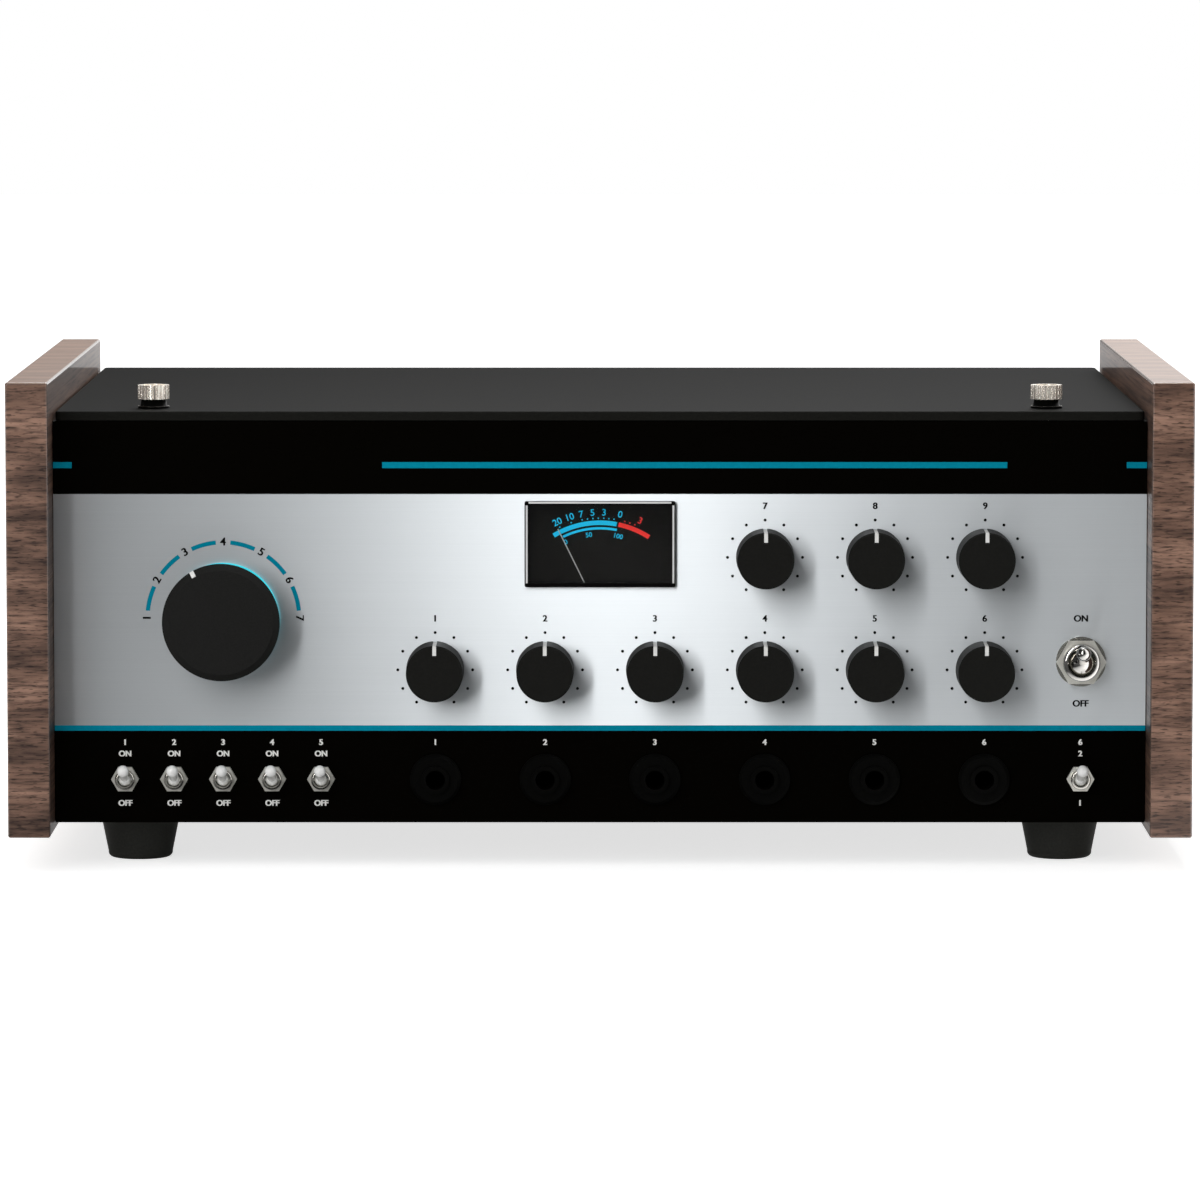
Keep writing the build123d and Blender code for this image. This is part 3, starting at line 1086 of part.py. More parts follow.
CORE_X, CORE_Y, CORE_WIDE, CORE_HIGH, CORE_DEEP = 130.0, 70.0, 66.0, 56.0, 28.0
SLOT_X, SLOT_WIDE, SLOT_HIGH = 17.0, 12.0, 34.0
BOBBIN_WIDE, BOBBIN_HIGH, BOBBIN_OUT, BOBBIN_CORNER_R = 44.0, 32.0, 12.0, 4.0
TONGUE_WIDE, TONGUE_HIGH = 22.2, 28.0
core_middle = (CORE_X, FLOOR_TOP + CORE_HIGH / 2)
with BuildPart() as transformer:
    with BuildSketch(facing(CORE_Y + CORE_DEEP / 2)):
        with Locations(core_middle):
            Rectangle(CORE_WIDE, CORE_HIGH)
            with Locations((-SLOT_X, 0), (SLOT_X, 0)):
                Rectangle(SLOT_WIDE, SLOT_HIGH, mode=Mode.SUBTRACT)
    extrude(amount=CORE_DEEP)
    with BuildSketch(facing(CORE_Y + CORE_DEEP / 2 + BOBBIN_OUT)):
        with Locations(core_middle):
            RectangleRounded(BOBBIN_WIDE, BOBBIN_HIGH, BOBBIN_CORNER_R)
            Rectangle(TONGUE_WIDE, TONGUE_HIGH, mode=Mode.SUBTRACT)
    extrude(amount=BOBBIN_OUT)
    with BuildSketch(facing(CORE_Y - CORE_DEEP / 2)):
        with Locations(core_middle):
            RectangleRounded(BOBBIN_WIDE, BOBBIN_HIGH, BOBBIN_CORNER_R)
    extrude(amount=BOBBIN_OUT)
save(transformer, "transformer")

FLANGE_FRONT, RECESS_FLOOR, INLET_END = REAR_FACE + 2.5, 114.5, 106.0
RIM_WIDE, RIM_HIGH, RIM_CORNER_R = 31.0, 24.0, 2.0
SOCKET_WIDE, SOCKET_HIGH, SOCKET_CORNER = 24.0, 16.4, 4.5
BLADE_END, BLADE_THICK, BLADE_HIGH = 128.0, 2.0, 4.0
BLADE_PLACES = [(INLET_X - 7, INLET_Z - 2), (INLET_X, INLET_Z + 2), (INLET_X + 7, INLET_Z - 2)]
with BuildPart() as mains_inlet:
    with BuildSketch(facing(FLANGE_FRONT)):
        with Locations((INLET_X, INLET_Z)):
            RectangleRounded(RIM_WIDE, RIM_HIGH, RIM_CORNER_R)
    extrude(amount=FLANGE_FRONT - REAR_FACE)
    with BuildSketch(facing(REAR_FACE)):
        with Locations((INLET_X, INLET_Z)):
            Rectangle(INLET_WIDE, INLET_HIGH)
    extrude(amount=REAR_FACE - INLET_END)
    with BuildSketch(facing(FLANGE_FRONT)) as socket:
        with Locations((INLET_X, INLET_Z)):
            Rectangle(SOCKET_WIDE, SOCKET_HIGH)
        chamfer(socket.vertices().group_by(Axis.Z)[-1], length=SOCKET_CORNER)
    extrude(amount=FLANGE_FRONT - RECESS_FLOOR, mode=Mode.SUBTRACT)
    with BuildSketch(facing(BLADE_END)):
        with Locations(*BLADE_PLACES):
            Rectangle(BLADE_THICK, BLADE_HIGH)
    extrude(amount=BLADE_END - RECESS_FLOOR)
save(mains_inlet, "mains_inlet")
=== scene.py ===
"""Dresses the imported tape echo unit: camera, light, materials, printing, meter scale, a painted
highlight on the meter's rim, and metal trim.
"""

import json
import math

import bmesh
import bpy
from mathutils import Matrix, Vector

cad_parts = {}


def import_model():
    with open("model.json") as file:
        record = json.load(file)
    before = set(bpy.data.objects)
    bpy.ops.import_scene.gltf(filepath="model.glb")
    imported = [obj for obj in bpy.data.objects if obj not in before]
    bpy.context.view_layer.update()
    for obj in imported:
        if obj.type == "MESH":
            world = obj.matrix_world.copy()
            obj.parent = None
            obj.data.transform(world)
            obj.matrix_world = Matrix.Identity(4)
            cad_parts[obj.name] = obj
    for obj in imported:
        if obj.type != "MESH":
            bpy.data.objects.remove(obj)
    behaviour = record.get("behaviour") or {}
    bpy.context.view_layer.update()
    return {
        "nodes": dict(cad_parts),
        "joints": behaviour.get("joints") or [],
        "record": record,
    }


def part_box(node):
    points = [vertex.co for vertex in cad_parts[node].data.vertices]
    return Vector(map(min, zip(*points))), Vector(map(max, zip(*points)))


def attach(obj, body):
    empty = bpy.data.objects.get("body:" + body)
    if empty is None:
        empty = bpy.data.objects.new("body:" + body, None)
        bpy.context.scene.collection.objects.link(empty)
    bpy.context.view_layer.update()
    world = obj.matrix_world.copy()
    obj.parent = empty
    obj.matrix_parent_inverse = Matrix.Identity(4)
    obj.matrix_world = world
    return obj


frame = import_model()

MM = 0.001
NODES = frame["nodes"]
PIVOT = {joint["name"]: Vector(joint.get("pos_m", (0, 0, 0))) for joint in frame["joints"]}
BODY_OF = {joint["name"]: joint["child"] for joint in frame["joints"]}
POTS = ["input_volume_turn", "chorus_rate_turn", "chorus_depth_turn", "reverb_volume_turn",
        "speed_turn", "echo_volume_turn", "bass_turn", "treble_turn", "feedback_turn"]
TOGGLES = ["direct_flick", "motor_flick", "sound_on_sound_flick", "echo_flick", "chorus_flick",
           "output_level_flick"]

panel_low, panel_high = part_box("front_panel")
FACE = panel_low.y
HALF = panel_high.x
JACKS = [Vector(mount["pos_m"]) for mount in frame["record"]["mounts"] if mount["kind"] == "bore"]
MODE = PIVOT["mode_turn"]
POWER = PIVOT["power_flick"]

# ---- bands, stripes and the meter's frame, heights above the standing surface ------------
LOWER_BAND_TOP = 45.6 * MM
SILVER_LOW = 47.4 * MM
SILVER_TOP = 124.3 * MM
STRIPE_Z = 133.9 * MM
STRIPE_WIDE = 2.0 * MM
STRIPE_SPANS = ((-180.8, -174.6), (-72.0, 134.6), (174.1, 180.8))
BEZEL_Z = 107.75 * MM
BEZEL_HALF_WIDE, BEZEL_HALF_HIGH = 24.95 * MM, 14.25 * MM

# ---- radii of the holes that the sheet and the bands leave for the controls ---------------
POT_HOLE, MODE_HOLE, POWER_HOLE = 3.7 * MM, 5.0 * MM, 6.1 * MM
SOCKET_HOLE, TOGGLE_HOLE = 4.7 * MM, 3.2 * MM

# ---- thickness of print and sheet, and where print on the sheet lies ----------------------
INK = 0.05 * MM
SHEET = 0.12 * MM
ON_SHEET = FACE - SHEET - INK / 2

# ---- lettering: size, weight and height above the standing surface ------------------------
LETTER, SMALL_LETTER, DIAL_NUMBER = 3.0 * MM, 2.65 * MM, 3.7 * MM
BOLD, STRIKE = 0.05 * MM, 0.09 * MM
POWER_ON_Z, POWER_OFF_Z = 82.9 * MM, 54.6 * MM
TOGGLE_UP_Z, TOGGLE_DOWN_Z, BAND_NUMERAL_Z = 37.9 * MM, 21.4 * MM, 41.7 * MM
NUMERAL_ABOVE_KNOB = 17.0 * MM

# ---- dots round the knobs, numbers and arcs round the selector; angles in degrees ---------
STEP = 30
DOT_COUNT, DOT_FIRST = 11, 90 - 150
DOT_RING, DOT_R, DOT_SIDES = 12.4 * MM, 0.5 * MM, 16
DIAL_RING, DIAL_ARC, DIAL_GAP = 25.2 * MM, (24.4 * MM, 25.8 * MM), 5.5

# ---- inlays in the knobs: half width, low, high and thickness in mm; low and high are taken
# from the axis in the face, from the front along the side and from the middle of the bevel ---
FACE_MARK = (0.62, 6.1, 9.0, 0.35)
SIDE_MARK = (0.6, -14.2, -0.3, 0.5)
MODE_MARK = (0.72, -1.22, 1.22, 0.46)
FACE_MARK_DEEP, MODE_MARK_DEEP = 0.2 * MM, 0.17 * MM

# ---- the selector's bevel and the angle of its mark from upright ---------------------------
BEVEL_WIDE, BEVEL_SLOPE, MODE_LEAN = 2.2 * MM, 0.8, 30

# ---- the meter's scale: radii in mm, angles in degrees to the left of upright --------------
SCALE_CENTRE_Z = 84.5 * MM
UPPER_ARC, LOWER_ARC = (29.1, 30.6), (27.6, 28.4)
TICK_RING, TICK_R, TICK_SIDES = 31.35, 0.24, 12
UPPER_FIGURES, LOWER_FIGURES = (33.2, 3.1), (26.0, 2.2)  # radius and size
SCALE_BOLD = 0.03 * MM

# ---- the room that metal shows, angles in radians from straight in front -------------------
DARK_MIDDLE, DARK_HALF, DARK_FADE = -0.25, 0.55, 0.5
PATCH_MIDDLE, PATCH_CORE, PATCH_EDGE, PATCH_LEVEL = -0.3, 0.05, 0.19, 0.62
ROOM_LEFT, ROOM_RIGHT, ROOM_TURN = 0.05, 1.35, 0.145

# ---- the grey fill and the floor: how bright, and how far from the middle -------------------
FILL = 0.27
FLOOR_WHITE, FLOOR_HIDDEN = 0.82, 0.02
GLOW_NEAR, GLOW_FAR, NEAR, FAR = 0.72, 1.1, 0.4, 0.9

# ---- the brushing's lean to the left, and fine relief ---------------------------------------
GRAIN_LEAN = math.radians(12.65)
FINE_GRAIN = (900, 900, 900)
GRAIN_DEEP = 0.05 * MM

# ---- where materials change: shares of the normal, and places -------------------------------
FACING = 0.6  # a face looks along an axis where its normal's share of that axis is larger
FLAT = 0.985  # an edge is rounded where no share is as large as this
INNER_FACES = HALF + 5 * MM
SMALL_NUTS_TOP = 48 * MM
POWER_NUT_FRONT = FACE - 3.4 * MM


# =========================================================================== shader helpers
def linear(red, green, blue):
    """Linear colour from 8-bit screen values."""
    def one(value):
        value /= 255.0
        return value / 12.92 if value <= 0.04045 else ((value + 0.055) / 1.055) ** 2.4
    return (one(red), one(green), one(blue), 1.0)


def shade(colour, factor):
    """The same colour, darker or lighter."""
    return tuple(channel * factor for channel in colour[:3]) + (1.0,)


class Net:
    """A node tree with short calls for the nodes used here."""

    def __init__(self, tree):
        self.tree = tree

    def node(self, kind, inputs=None, **settings):
        """A new node with these settings, and its inputs linked or set."""
        made = self.tree.nodes.new(kind)
        for key, value in settings.items():
            setattr(made, key, value)
        for key, value in (inputs or {}).items():
            self.put(made.inputs[key], value)
        return made

    def put(self, socket, value):
        """Links another node's output to the socket, or sets a plain value."""
        if isinstance(value, bpy.types.NodeSocket):
            self.tree.links.new(value, socket)
        else:
            socket.default_value = value

    def math(self, operation, *values):
        """Result of one math node on up to three values."""
        return self.node("ShaderNodeMath", dict(enumerate(values)), operation=operation).outputs[0]

    def mix(self, factor, a, b):
        """A number from a to b."""
        return self.node("ShaderNodeMix", {"Factor": factor, "A": a, "B": b}).outputs[0]

    def mix_colours(self, factor, a, b, blend_type="MIX"):
        """A colour from a to b, or a with b multiplied into it."""
        return self.node("ShaderNodeMix", {"Factor": factor, 6: a, 7: b}, data_type="RGBA",
                         blend_type=blend_type).outputs[2]

    def span(self, factor, low, high, start=0.0, end=1.0):
        """Low where factor is at start, high where it is at end."""
        return self.node("ShaderNodeMapRange", {
            "Value": factor, "From Min": start, "From Max": end, "To Min": low, "To Max": high,
        }).outputs["Result"]

    def axes(self, coordinates="Object"):
        """X, Y and Z of the object's coordinates, or of another set of them."""
        source = self.node("ShaderNodeTexCoord").outputs[coordinates]
        return self.node("ShaderNodeSeparateXYZ", {0: source}).outputs

    def normal(self):
        """The surface's own normal."""
        return self.node("ShaderNodeNewGeometry").outputs["Normal"]

    def facing(self):
        """X, Y and Z of the surface's normal."""
        return self.node("ShaderNodeSeparateXYZ", {0: self.normal()}).outputs

    def azimuth(self, x, y):
        """Angle from straight in front, to the right, in radians."""
        return self.math("ARCTAN2", x, self.math("MULTIPLY", y, -1.0))

    def beside(self, azimuth):
        """0 in the dark sector in front, 1 at the sides and behind."""
        off = self.math("ABSOLUTE", self.math("SUBTRACT", azimuth, DARK_MIDDLE))
        return self.span(off, 0.0, 1.0, DARK_HALF, DARK_HALF + DARK_FADE)


class Shader(Net):
    """A material with one Principled surface."""

    def __init__(self, name):
        self.mat = bpy.data.materials.new(name)
        self.mat.use_nodes = True
        super().__init__(self.mat.node_tree)
        self.bsdf = self.tree.nodes["Principled BSDF"]

    def set(self, **sockets):
        """Sets or links the surface's sockets; an underscore stands for a space."""
        for key, value in sockets.items():
            self.put(self.bsdf.inputs[key.replace("_", " ")], value)

    def stretched(self, scale):
        """Object coordinates multiplied by scale."""
        coords = self.node("ShaderNodeTexCoord").outputs["Object"]
        mapping = self.node("ShaderNodeMapping", {"Vector": coords, "Scale": scale})
        return mapping.outputs["Vector"]

    def noise(self, vector, detail=3.0, rough=0.55):
        """Noise with a grain of one unit of the vector."""
        return self.node("ShaderNodeTexNoise", {
            "Vector": vector, "Scale": 1.0, "Detail": detail, "Roughness": rough,
        }).outputs["Fac"]

    def ramp(self, factor, *stops):
        """Colour by the factor's place between the stops, each a place and its colour."""
        made = self.node("ShaderNodeValToRGB", {"Fac": factor})
        elements = made.color_ramp.elements
        while len(elements) < len(stops):
            elements.new(0.5)
        for element, (place, colour) in zip(elements, stops):
            element.position = place
            element.color = colour
        return made.outputs["Color"]

    def bump(self, height, strength, distance):
        """Normal of a relief."""
        made = self.node("ShaderNodeBump", {"Height": height, "Strength": strength,
                                            "Distance": distance})
        return made.outputs["Normal"]


def finish_of(name, colour, rough, metal=0.0, grain=FINE_GRAIN, vary=0.12, bump=0.1, **sockets):
    """A surface with fine grain: colour, gloss and relief all vary a little with it."""
    made = Shader(name)
    grain_noise = made.noise(made.stretched(grain))
    made.set(Base_Color=made.ramp(grain_noise, (0.3, shade(colour, 1 - vary)),
                                  (0.7, shade(colour, 1 + vary))))
    made.set(Roughness=made.span(grain_noise, rough * 0.9, rough * 1.1), Metallic=metal)
    made.set(Normal=made.bump(grain_noise, bump, GRAIN_DEEP))
    made.set(**sockets)
    return made.mat


def wear(materials):
    """Gives every listed CAD node its material."""
    for node_name, mat in materials.items():
        slots = NODES[node_name].material_slots
        for slot in slots:
            slot.material = mat
        if not slots:
            NODES[node_name].data.materials.append(mat)


# =========================================================================== materials
def walnut():
    """Lacquered walnut: streaks and dark pores along Y, short ones across the narrow ends. The
    tops are calmer, the inner faces painted darker as shade and the eased edges glossier."""
    made = Shader("lacquered_walnut")
    place = made.axes()
    facing = made.facing()
    share = {axis: made.math("ABSOLUTE", facing[axis]) for axis in "XYZ"}
    on_top = made.math("GREATER_THAN", share["Z"], FACING)
    on_side = made.math("GREATER_THAN", share["X"], FACING)
    across = made.mix(on_top, place["Z"], place["Y"])
    along = made.mix(on_side, place["X"], made.math("MULTIPLY", place["Y"], 0.14))
    board = made.math("SIGN", place["X"])

    def grain(along_scale, across_scale, detail, rough):
        """Streaks along the board, other ones in each of the two boards."""
        vector = made.node("ShaderNodeCombineXYZ", {
            "X": made.math("MULTIPLY", along, along_scale),
            "Y": made.math("MULTIPLY", across, across_scale),
            "Z": made.math("MULTIPLY", board, 7.0),
        }).outputs[0]
        return made.noise(vector, detail, rough)

    figure = made.math("ADD", grain(26.0, 90.0, 3.0, 0.5), made.math("MULTIPLY", board, 0.02))
    streak = grain(80.0, 760.0, 4.0, 0.62)
    pores = grain(260.0, 1500.0, 2.0, 0.5)
    body = made.ramp(figure, (0.30, WALNUT_DARK), (0.5, WALNUT_MID), (0.72, WALNUT_LIGHT))
    veins = made.ramp(streak, (0.34, (0.36, 0.34, 0.34, 1)), (0.54, (1, 1, 1, 1)),
                      (0.8, (1.3, 1.28, 1.26, 1)))
    specks = made.ramp(pores, (0.34, (0.3, 0.28, 0.27, 1)), (0.45, (1, 1, 1, 1)))
    calm = made.math("MULTIPLY", on_top, 0.65)
    grainy = made.mix(on_top, 1.0, 0.2)
    colour = made.mix_colours(calm, body, WALNUT_TOP)
    colour = made.mix_colours(grainy, colour, veins, "MULTIPLY")
    colour = made.mix_colours(grainy, colour, specks, "MULTIPLY")

    # Painted shade: the inner faces, beside the lid, are mixed 60% towards a dark brown.
    inner = made.math("LESS_THAN", made.math("ABSOLUTE", place["X"]), INNER_FACES)
    inner_shade = made.math("MULTIPLY", made.math("MULTIPLY", on_side, inner), 0.6)
    made.set(Base_Color=made.mix_colours(inner_shade, colour, WALNUT_INNER_SHADE))
    made.set(Roughness=made.span(streak, 0.6, 0.5), Specular_IOR_Level=0.3)
    made.set(Normal=made.bump(pores, 0.2, 0.1 * MM))

    largest = made.math("MAXIMUM", made.math("MAXIMUM", share["Y"], share["X"]), share["Z"])
    rounded = made.math("LESS_THAN", largest, FLAT)
    made.set(Coat_Weight=made.math("MAXIMUM", rounded, made.mix(on_side, 0.46, 0.2)))
    made.set(Coat_Roughness=made.mix(rounded, 0.09, 0.16), Coat_IOR=made.mix(rounded, 1.5, 1.6))
    return made.mat


def brushed_panel():
    """Aluminium brushed along X: its highlight is drawn out upwards and downwards."""
    made = Shader("brushed_aluminium")
    hairline = made.noise(made.stretched((14, 14, 5200)), 2.0)
    made.set(Base_Color=made.ramp(hairline, (0.3, (0.585, 0.615, 0.635, 1)),
                                  (0.7, (0.605, 0.635, 0.655, 1))))
    made.set(Roughness=made.span(hairline, 0.37, 0.39), Metallic=0.55)
    tangent = made.node("ShaderNodeTangent", direction_type="UV_MAP", uv_map="drawn")
    lean = made.node("ShaderNodeVectorRotate", {"Vector": made.normal(), "Angle": -GRAIN_LEAN},
                     rotation_type="Z_AXIS")
    made.set(Anisotropic=0.98, Tangent=tangent.outputs[0], Normal=lean.outputs[0])
    return made.mat


def nut_plate():
    """Nickel: satin on the small switches low on the panel and on the face of the power switch's
    nut, bright on that switch's washer and bushing."""
    made = Shader("nut_nickel")
    grain_noise = made.noise(made.stretched(FINE_GRAIN))
    made.set(Base_Color=made.ramp(grain_noise, (0.3, (0.70, 0.69, 0.63, 1)),
                                  (0.7, (0.76, 0.75, 0.69, 1))))
    place = made.axes()
    upper = made.math("GREATER_THAN", place["Z"], SMALL_NUTS_TOP)
    face = made.math("COMPARE", place["Y"], POWER_NUT_FRONT, 0.3 * MM)
    made.set(Roughness=made.mix(upper, 0.34, made.mix(face, 0.1, 0.3)))
    made.set(Metallic=made.mix(upper, 0.62, made.mix(face, 0.85, 0.35)))
    made.set(Normal=made.bump(grain_noise, 0.04, GRAIN_DEEP))
    return made.mat


def cover_paint():
    """Fine black texture coat, painted in two tones that stand in for light and shade: darker on
    the top, a little paler on the front lip.
    """
    made = Shader("texture_coat")
    specks = made.noise(made.stretched((2600, 2600, 2600)), 2.0)
    # Painted light and shade: the top gets a darker colour and the front lip a paler one, to set
    # how lit each looks.
    top_painted_darker = made.ramp(specks, (0.3, linear(9, 9, 8)), (0.7, linear(13, 13, 12)))
    upright = made.ramp(specks, (0.3, linear(22, 22, 20)), (0.7, linear(29, 29, 26)))
    lip = made.math("LESS_THAN", made.facing()["Y"], -FACING)
    made.set(Base_Color=made.mix_colours(lip, top_painted_darker, upright))
    made.set(Roughness=made.span(specks, 0.57, 0.65), Normal=made.bump(specks, 0.2, 0.03 * MM))
    made.set(Specular_IOR_Level=0.03)
    return made.mat


def glowing(name, colour, strength):
    """A lit print or light guide."""
    made = Shader(name)
    haze = made.noise(made.stretched((500, 500, 500)))
    made.set(Base_Color=made.ramp(haze, (0.3, shade(colour, 0.9)), (0.7, colour)), Roughness=0.5)
    made.set(Emission_Color=colour, Emission_Strength=strength)
    return made.mat


def clear_plastic(name, tint, rough):
    """Clear or tinted plastic that light goes through."""
    made = Shader(name)
    smear = made.noise(made.stretched((60, 60, 60)))
    made.set(Base_Color=tint, Roughness=made.span(smear, rough, rough * 1.4))
    made.set(IOR=1.45, Transmission_Weight=1.0)
    return made.mat


WALNUT_DARK, WALNUT_MID = linear(78, 55, 44), linear(128, 96, 79)
WALNUT_LIGHT = linear(170, 132, 112)
# The second colour on the next line is painted shade for the cheeks' inner faces.
WALNUT_TOP, WALNUT_INNER_SHADE = linear(126, 99, 80), linear(34, 26, 22)
WALNUT = walnut()
BRUSHED = brushed_panel()
COVER = cover_paint()
DULL = {"Specular_IOR_Level": 0.06}
BLACK_INK = finish_of("black_enamel", linear(6, 5, 3.5), 0.6, vary=0.08, bump=0.03,
                      Specular_IOR_Level=0.0)
TEAL_INK = finish_of("teal_enamel", linear(6, 138, 164), 0.5, vary=0.06, bump=0.03,
                     Specular_IOR_Level=0.0)
WHITE_INK = finish_of("white_enamel", linear(235, 235, 232), 0.45, vary=0.04, bump=0.03)
DARK_INK = finish_of("print_black", linear(12, 13, 13), 0.5, vary=0.06, bump=0.03, **DULL)
CASE_PAINT = finish_of("case_coat", linear(18, 18, 17), 0.55, grain=(2200, 2200, 2200), bump=0.15,
                       **DULL)
KNOB_SIDE = finish_of("knob_plastic", linear(27, 27, 25), 0.46, grain=(1500, 1500, 1500), bump=0.1,
                      **DULL)
MODE_PLASTIC = finish_of("mode_plastic", linear(31, 31, 30), 0.5, grain=(1700, 1700, 1700),
                         bump=0.14, **DULL)
NICKEL = finish_of("nickel_plate", (0.66, 0.64, 0.59, 1), 0.16, 1.0, grain=(300, 300, 900),
                   vary=0.05, bump=0.04)
NUTS = nut_plate()
CHROME = finish_of("chrome_plate", (0.70, 0.68, 0.65, 1), 0.1, 1.0, vary=0.03, bump=0.02)
SATIN = finish_of("satin_lever", (0.93, 0.93, 0.91, 1), 0.3, vary=0.04, bump=0.04,
                  Coat_Weight=1.0, Coat_Roughness=0.2)
KNURL = finish_of("knurled_steel", (0.98, 0.91, 0.82, 1), 0.27, 0.75, grain=(700, 700, 300),
                  bump=0.1)
COLLAR = finish_of("collar_black", linear(10, 10, 9), 0.35, bump=0.05, **DULL)
RUBBER = finish_of("foot_rubber", linear(60, 60, 57), 0.62, grain=(1400, 1400, 1400), bump=0.25,
                   **DULL)
JACK_PLASTIC = finish_of("jack_plastic", linear(8, 8, 7), 0.45, vary=0.08, bump=0.05,
                         Specular_IOR_Level=0.03)
METER_PLASTIC = finish_of("meter_plastic", linear(9, 9, 8), 0.3, vary=0.08, bump=0.04, **DULL)
# The pale colour on the next line is the painted highlight along the meter's rim.
BEZEL_HIGHLIGHT = finish_of("bezel_painted_highlight", (0.86, 0.86, 0.85, 1), 0.35, 0.2, vary=0.03, bump=0.02)
DIAL_FACE = finish_of("dial_face", linear(39, 37, 34), 0.6, vary=0.04, bump=0.0, **DULL)
NEEDLE = finish_of("needle_paint", linear(225, 225, 222), 0.4, vary=0.03, bump=0.02)
ZINC = finish_of("zinc_plate", (0.36, 0.352, 0.335, 1), 0.52, 1.0, grain=(500, 500, 500),
                 bump=0.08)
ALLOY = finish_of("deck_alloy", (0.29, 0.295, 0.3, 1), 0.6, 1.0, grain=(24, 2600, 24), bump=0.06)
BRASS = finish_of("turned_brass", (0.72, 0.54, 0.26, 1), 0.28, 1.0, grain=(300, 300, 2200),
                  bump=0.08)
POLISHED = finish_of("polished_steel", (0.72, 0.72, 0.72, 1), 0.16, 1.0, vary=0.04, bump=0.03)
TAPE = finish_of("oxide_tape", linear(58, 38, 28), 0.3, vary=0.1, bump=0.03)
BELT = finish_of("belt_rubber", linear(24, 24, 23), 0.6, bump=0.15)
BOARD = finish_of("board_laminate", linear(24, 86, 52), 0.4, grain=(240, 240, 240), vary=0.2,
                  bump=0.1)
COIL = finish_of("coil_wrap", linear(176, 138, 52), 0.5, grain=(60, 900, 60), bump=0.1)
CORE = finish_of("varnished_core", linear(54, 52, 50), 0.4, grain=(50, 1700, 50), bump=0.3)
METER_BLUE = glowing("scale_blue", linear(0, 165, 200), 0.85)
METER_RED = glowing("scale_red", linear(222, 42, 36), 0.65)
RING_LIGHT = glowing("ring_cyan", (0.03, 0.45, 0.53, 1), 1.1)
GLASS = clear_plastic("window_clear", (0.97, 0.99, 1.0, 1), 0.02)
SMOKED = clear_plastic("tray_smoked", (0.72, 0.70, 0.66, 1), 0.18)

wear({
    "left_cheek": WALNUT, "right_cheek": WALNUT, "top_cover": COVER,
    "front_panel": CASE_PAINT, "chassis_tray": CASE_PAINT, "rear_panel": CASE_PAINT,
    "cover_brackets": CASE_PAINT, "cover_hinges": CASE_PAINT, "feet": RUBBER, "case_screws": ZINC,
    "deck_plate": ALLOY, "tape_tray": SMOKED, "tape_loop": TAPE, "head_base": ZINC,
    "tape_heads": POLISHED, "tape_guides": POLISHED, "capstan_bearing": BRASS,
    "capstan_shaft": POLISHED, "flywheel": BRASS, "drive_motor": ZINC, "motor_pulley": BRASS,
    "drive_belt": BELT, "pinch_arm": ZINC, "pinch_roller": BELT, "solenoid": COIL,
    "solenoid_plunger": ZINC, "potentiometers": ZINC, "panel_nuts": NUTS,
    "mode_switch": DIAL_FACE, "mode_ring": RING_LIGHT, "mode_knob": MODE_PLASTIC,
    "toggle_switches": NUTS, "jack_sockets": JACK_PLASTIC, "jack_nuts": JACK_PLASTIC,
    "vu_meter_case": METER_PLASTIC, "vu_meter_window": GLASS, "vu_dial": DIAL_FACE,
    "vu_needle": NEEDLE, "circuit_board": BOARD, "transformer": CORE, "reverb_tank": ALLOY,
    "mains_inlet": JACK_PLASTIC, "thumbscrew_left": KNURL, "thumbscrew_right": KNURL,
    "lever_power": CHROME,
})
wear({name: KNOB_SIDE for name in NODES if name.startswith("knob_")})
wear({name: SATIN for name in NODES if name.startswith("lever_") and name != "lever_power"})


# =========================================================================== drawing helpers
def circle(x, y, radius, steps=48):
    """Outline of a circle."""
    angles = [math.tau * i / steps for i in range(steps)]
    return [(x + radius * math.cos(angle), y + radius * math.sin(angle)) for angle in angles]


def rectangle(x0, y0, x1, y1):
    """Outline of an upright rectangle."""
    return [(x0, y0), (x1, y0), (x1, y1), (x0, y1)]


def arc_band(x, y, inner, outer, start, end, steps=24):
    """Ring sector between two angles, in degrees from +X."""
    def point(radius, i):
        angle = math.radians(start + (end - start) * i / steps)
        return (x + radius * math.cos(angle), y + radius * math.sin(angle))
    return ([point(outer, i) for i in range(steps + 1)]
            + [point(inner, steps - i) for i in range(steps + 1)])


def flat_shape(outlines, thick):
    """Filled drawing of closed outlines; one inside another is a hole."""
    curve = bpy.data.curves.new("drawing", "CURVE")
    curve.dimensions = "2D"
    curve.fill_mode = "BOTH"
    curve.extrude = thick / 2
    for outline in outlines:
        spline = curve.splines.new("POLY")
        spline.points.add(len(outline) - 1)
        for point, (x, y) in zip(spline.points, outline):
            point.co = (x, y, 0, 1)
        spline.use_cyclic_u = True
    return curve


def flat_text(words, size, thick, heavy):
    """Numerals or letters centred on the drawing's origin, their strokes widened by heavy."""
    text = bpy.data.curves.new("drawing", "FONT")
    text.body = words
    text.size = size
    text.extrude = thick / 2
    text.offset = heavy
    text.align_x = "CENTER"
    text.align_y = "CENTER"
    return text


def standing(x=0.0, y=FACE, z=0.0, turn=0.0):
    """Stands a drawing up to face the front, turned anticlockwise by turn degrees."""
    upright = Matrix.Rotation(math.radians(90), 4, "X")
    return Matrix.Translation((x, y, z)) @ upright @ Matrix.Rotation(math.radians(turn), 4, "Z")


def struck(words, size, at):
    """Heavier lettering: the same words twice, side by side and a hair apart in depth."""
    return [(flat_text(words, size, INK, BOLD), at @ Matrix.Translation((shift, 0, shift * 0.1)))
            for shift in (-STRIKE, STRIKE)]


def piece(name, mesh, material, body):
    """Links a finished mesh as a piece of the object."""
    made = bpy.data.objects.new(name, mesh)
    bpy.context.scene.collection.objects.link(made)
    mesh.materials.clear()
    mesh.materials.append(material)
    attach(made, body)
    return made


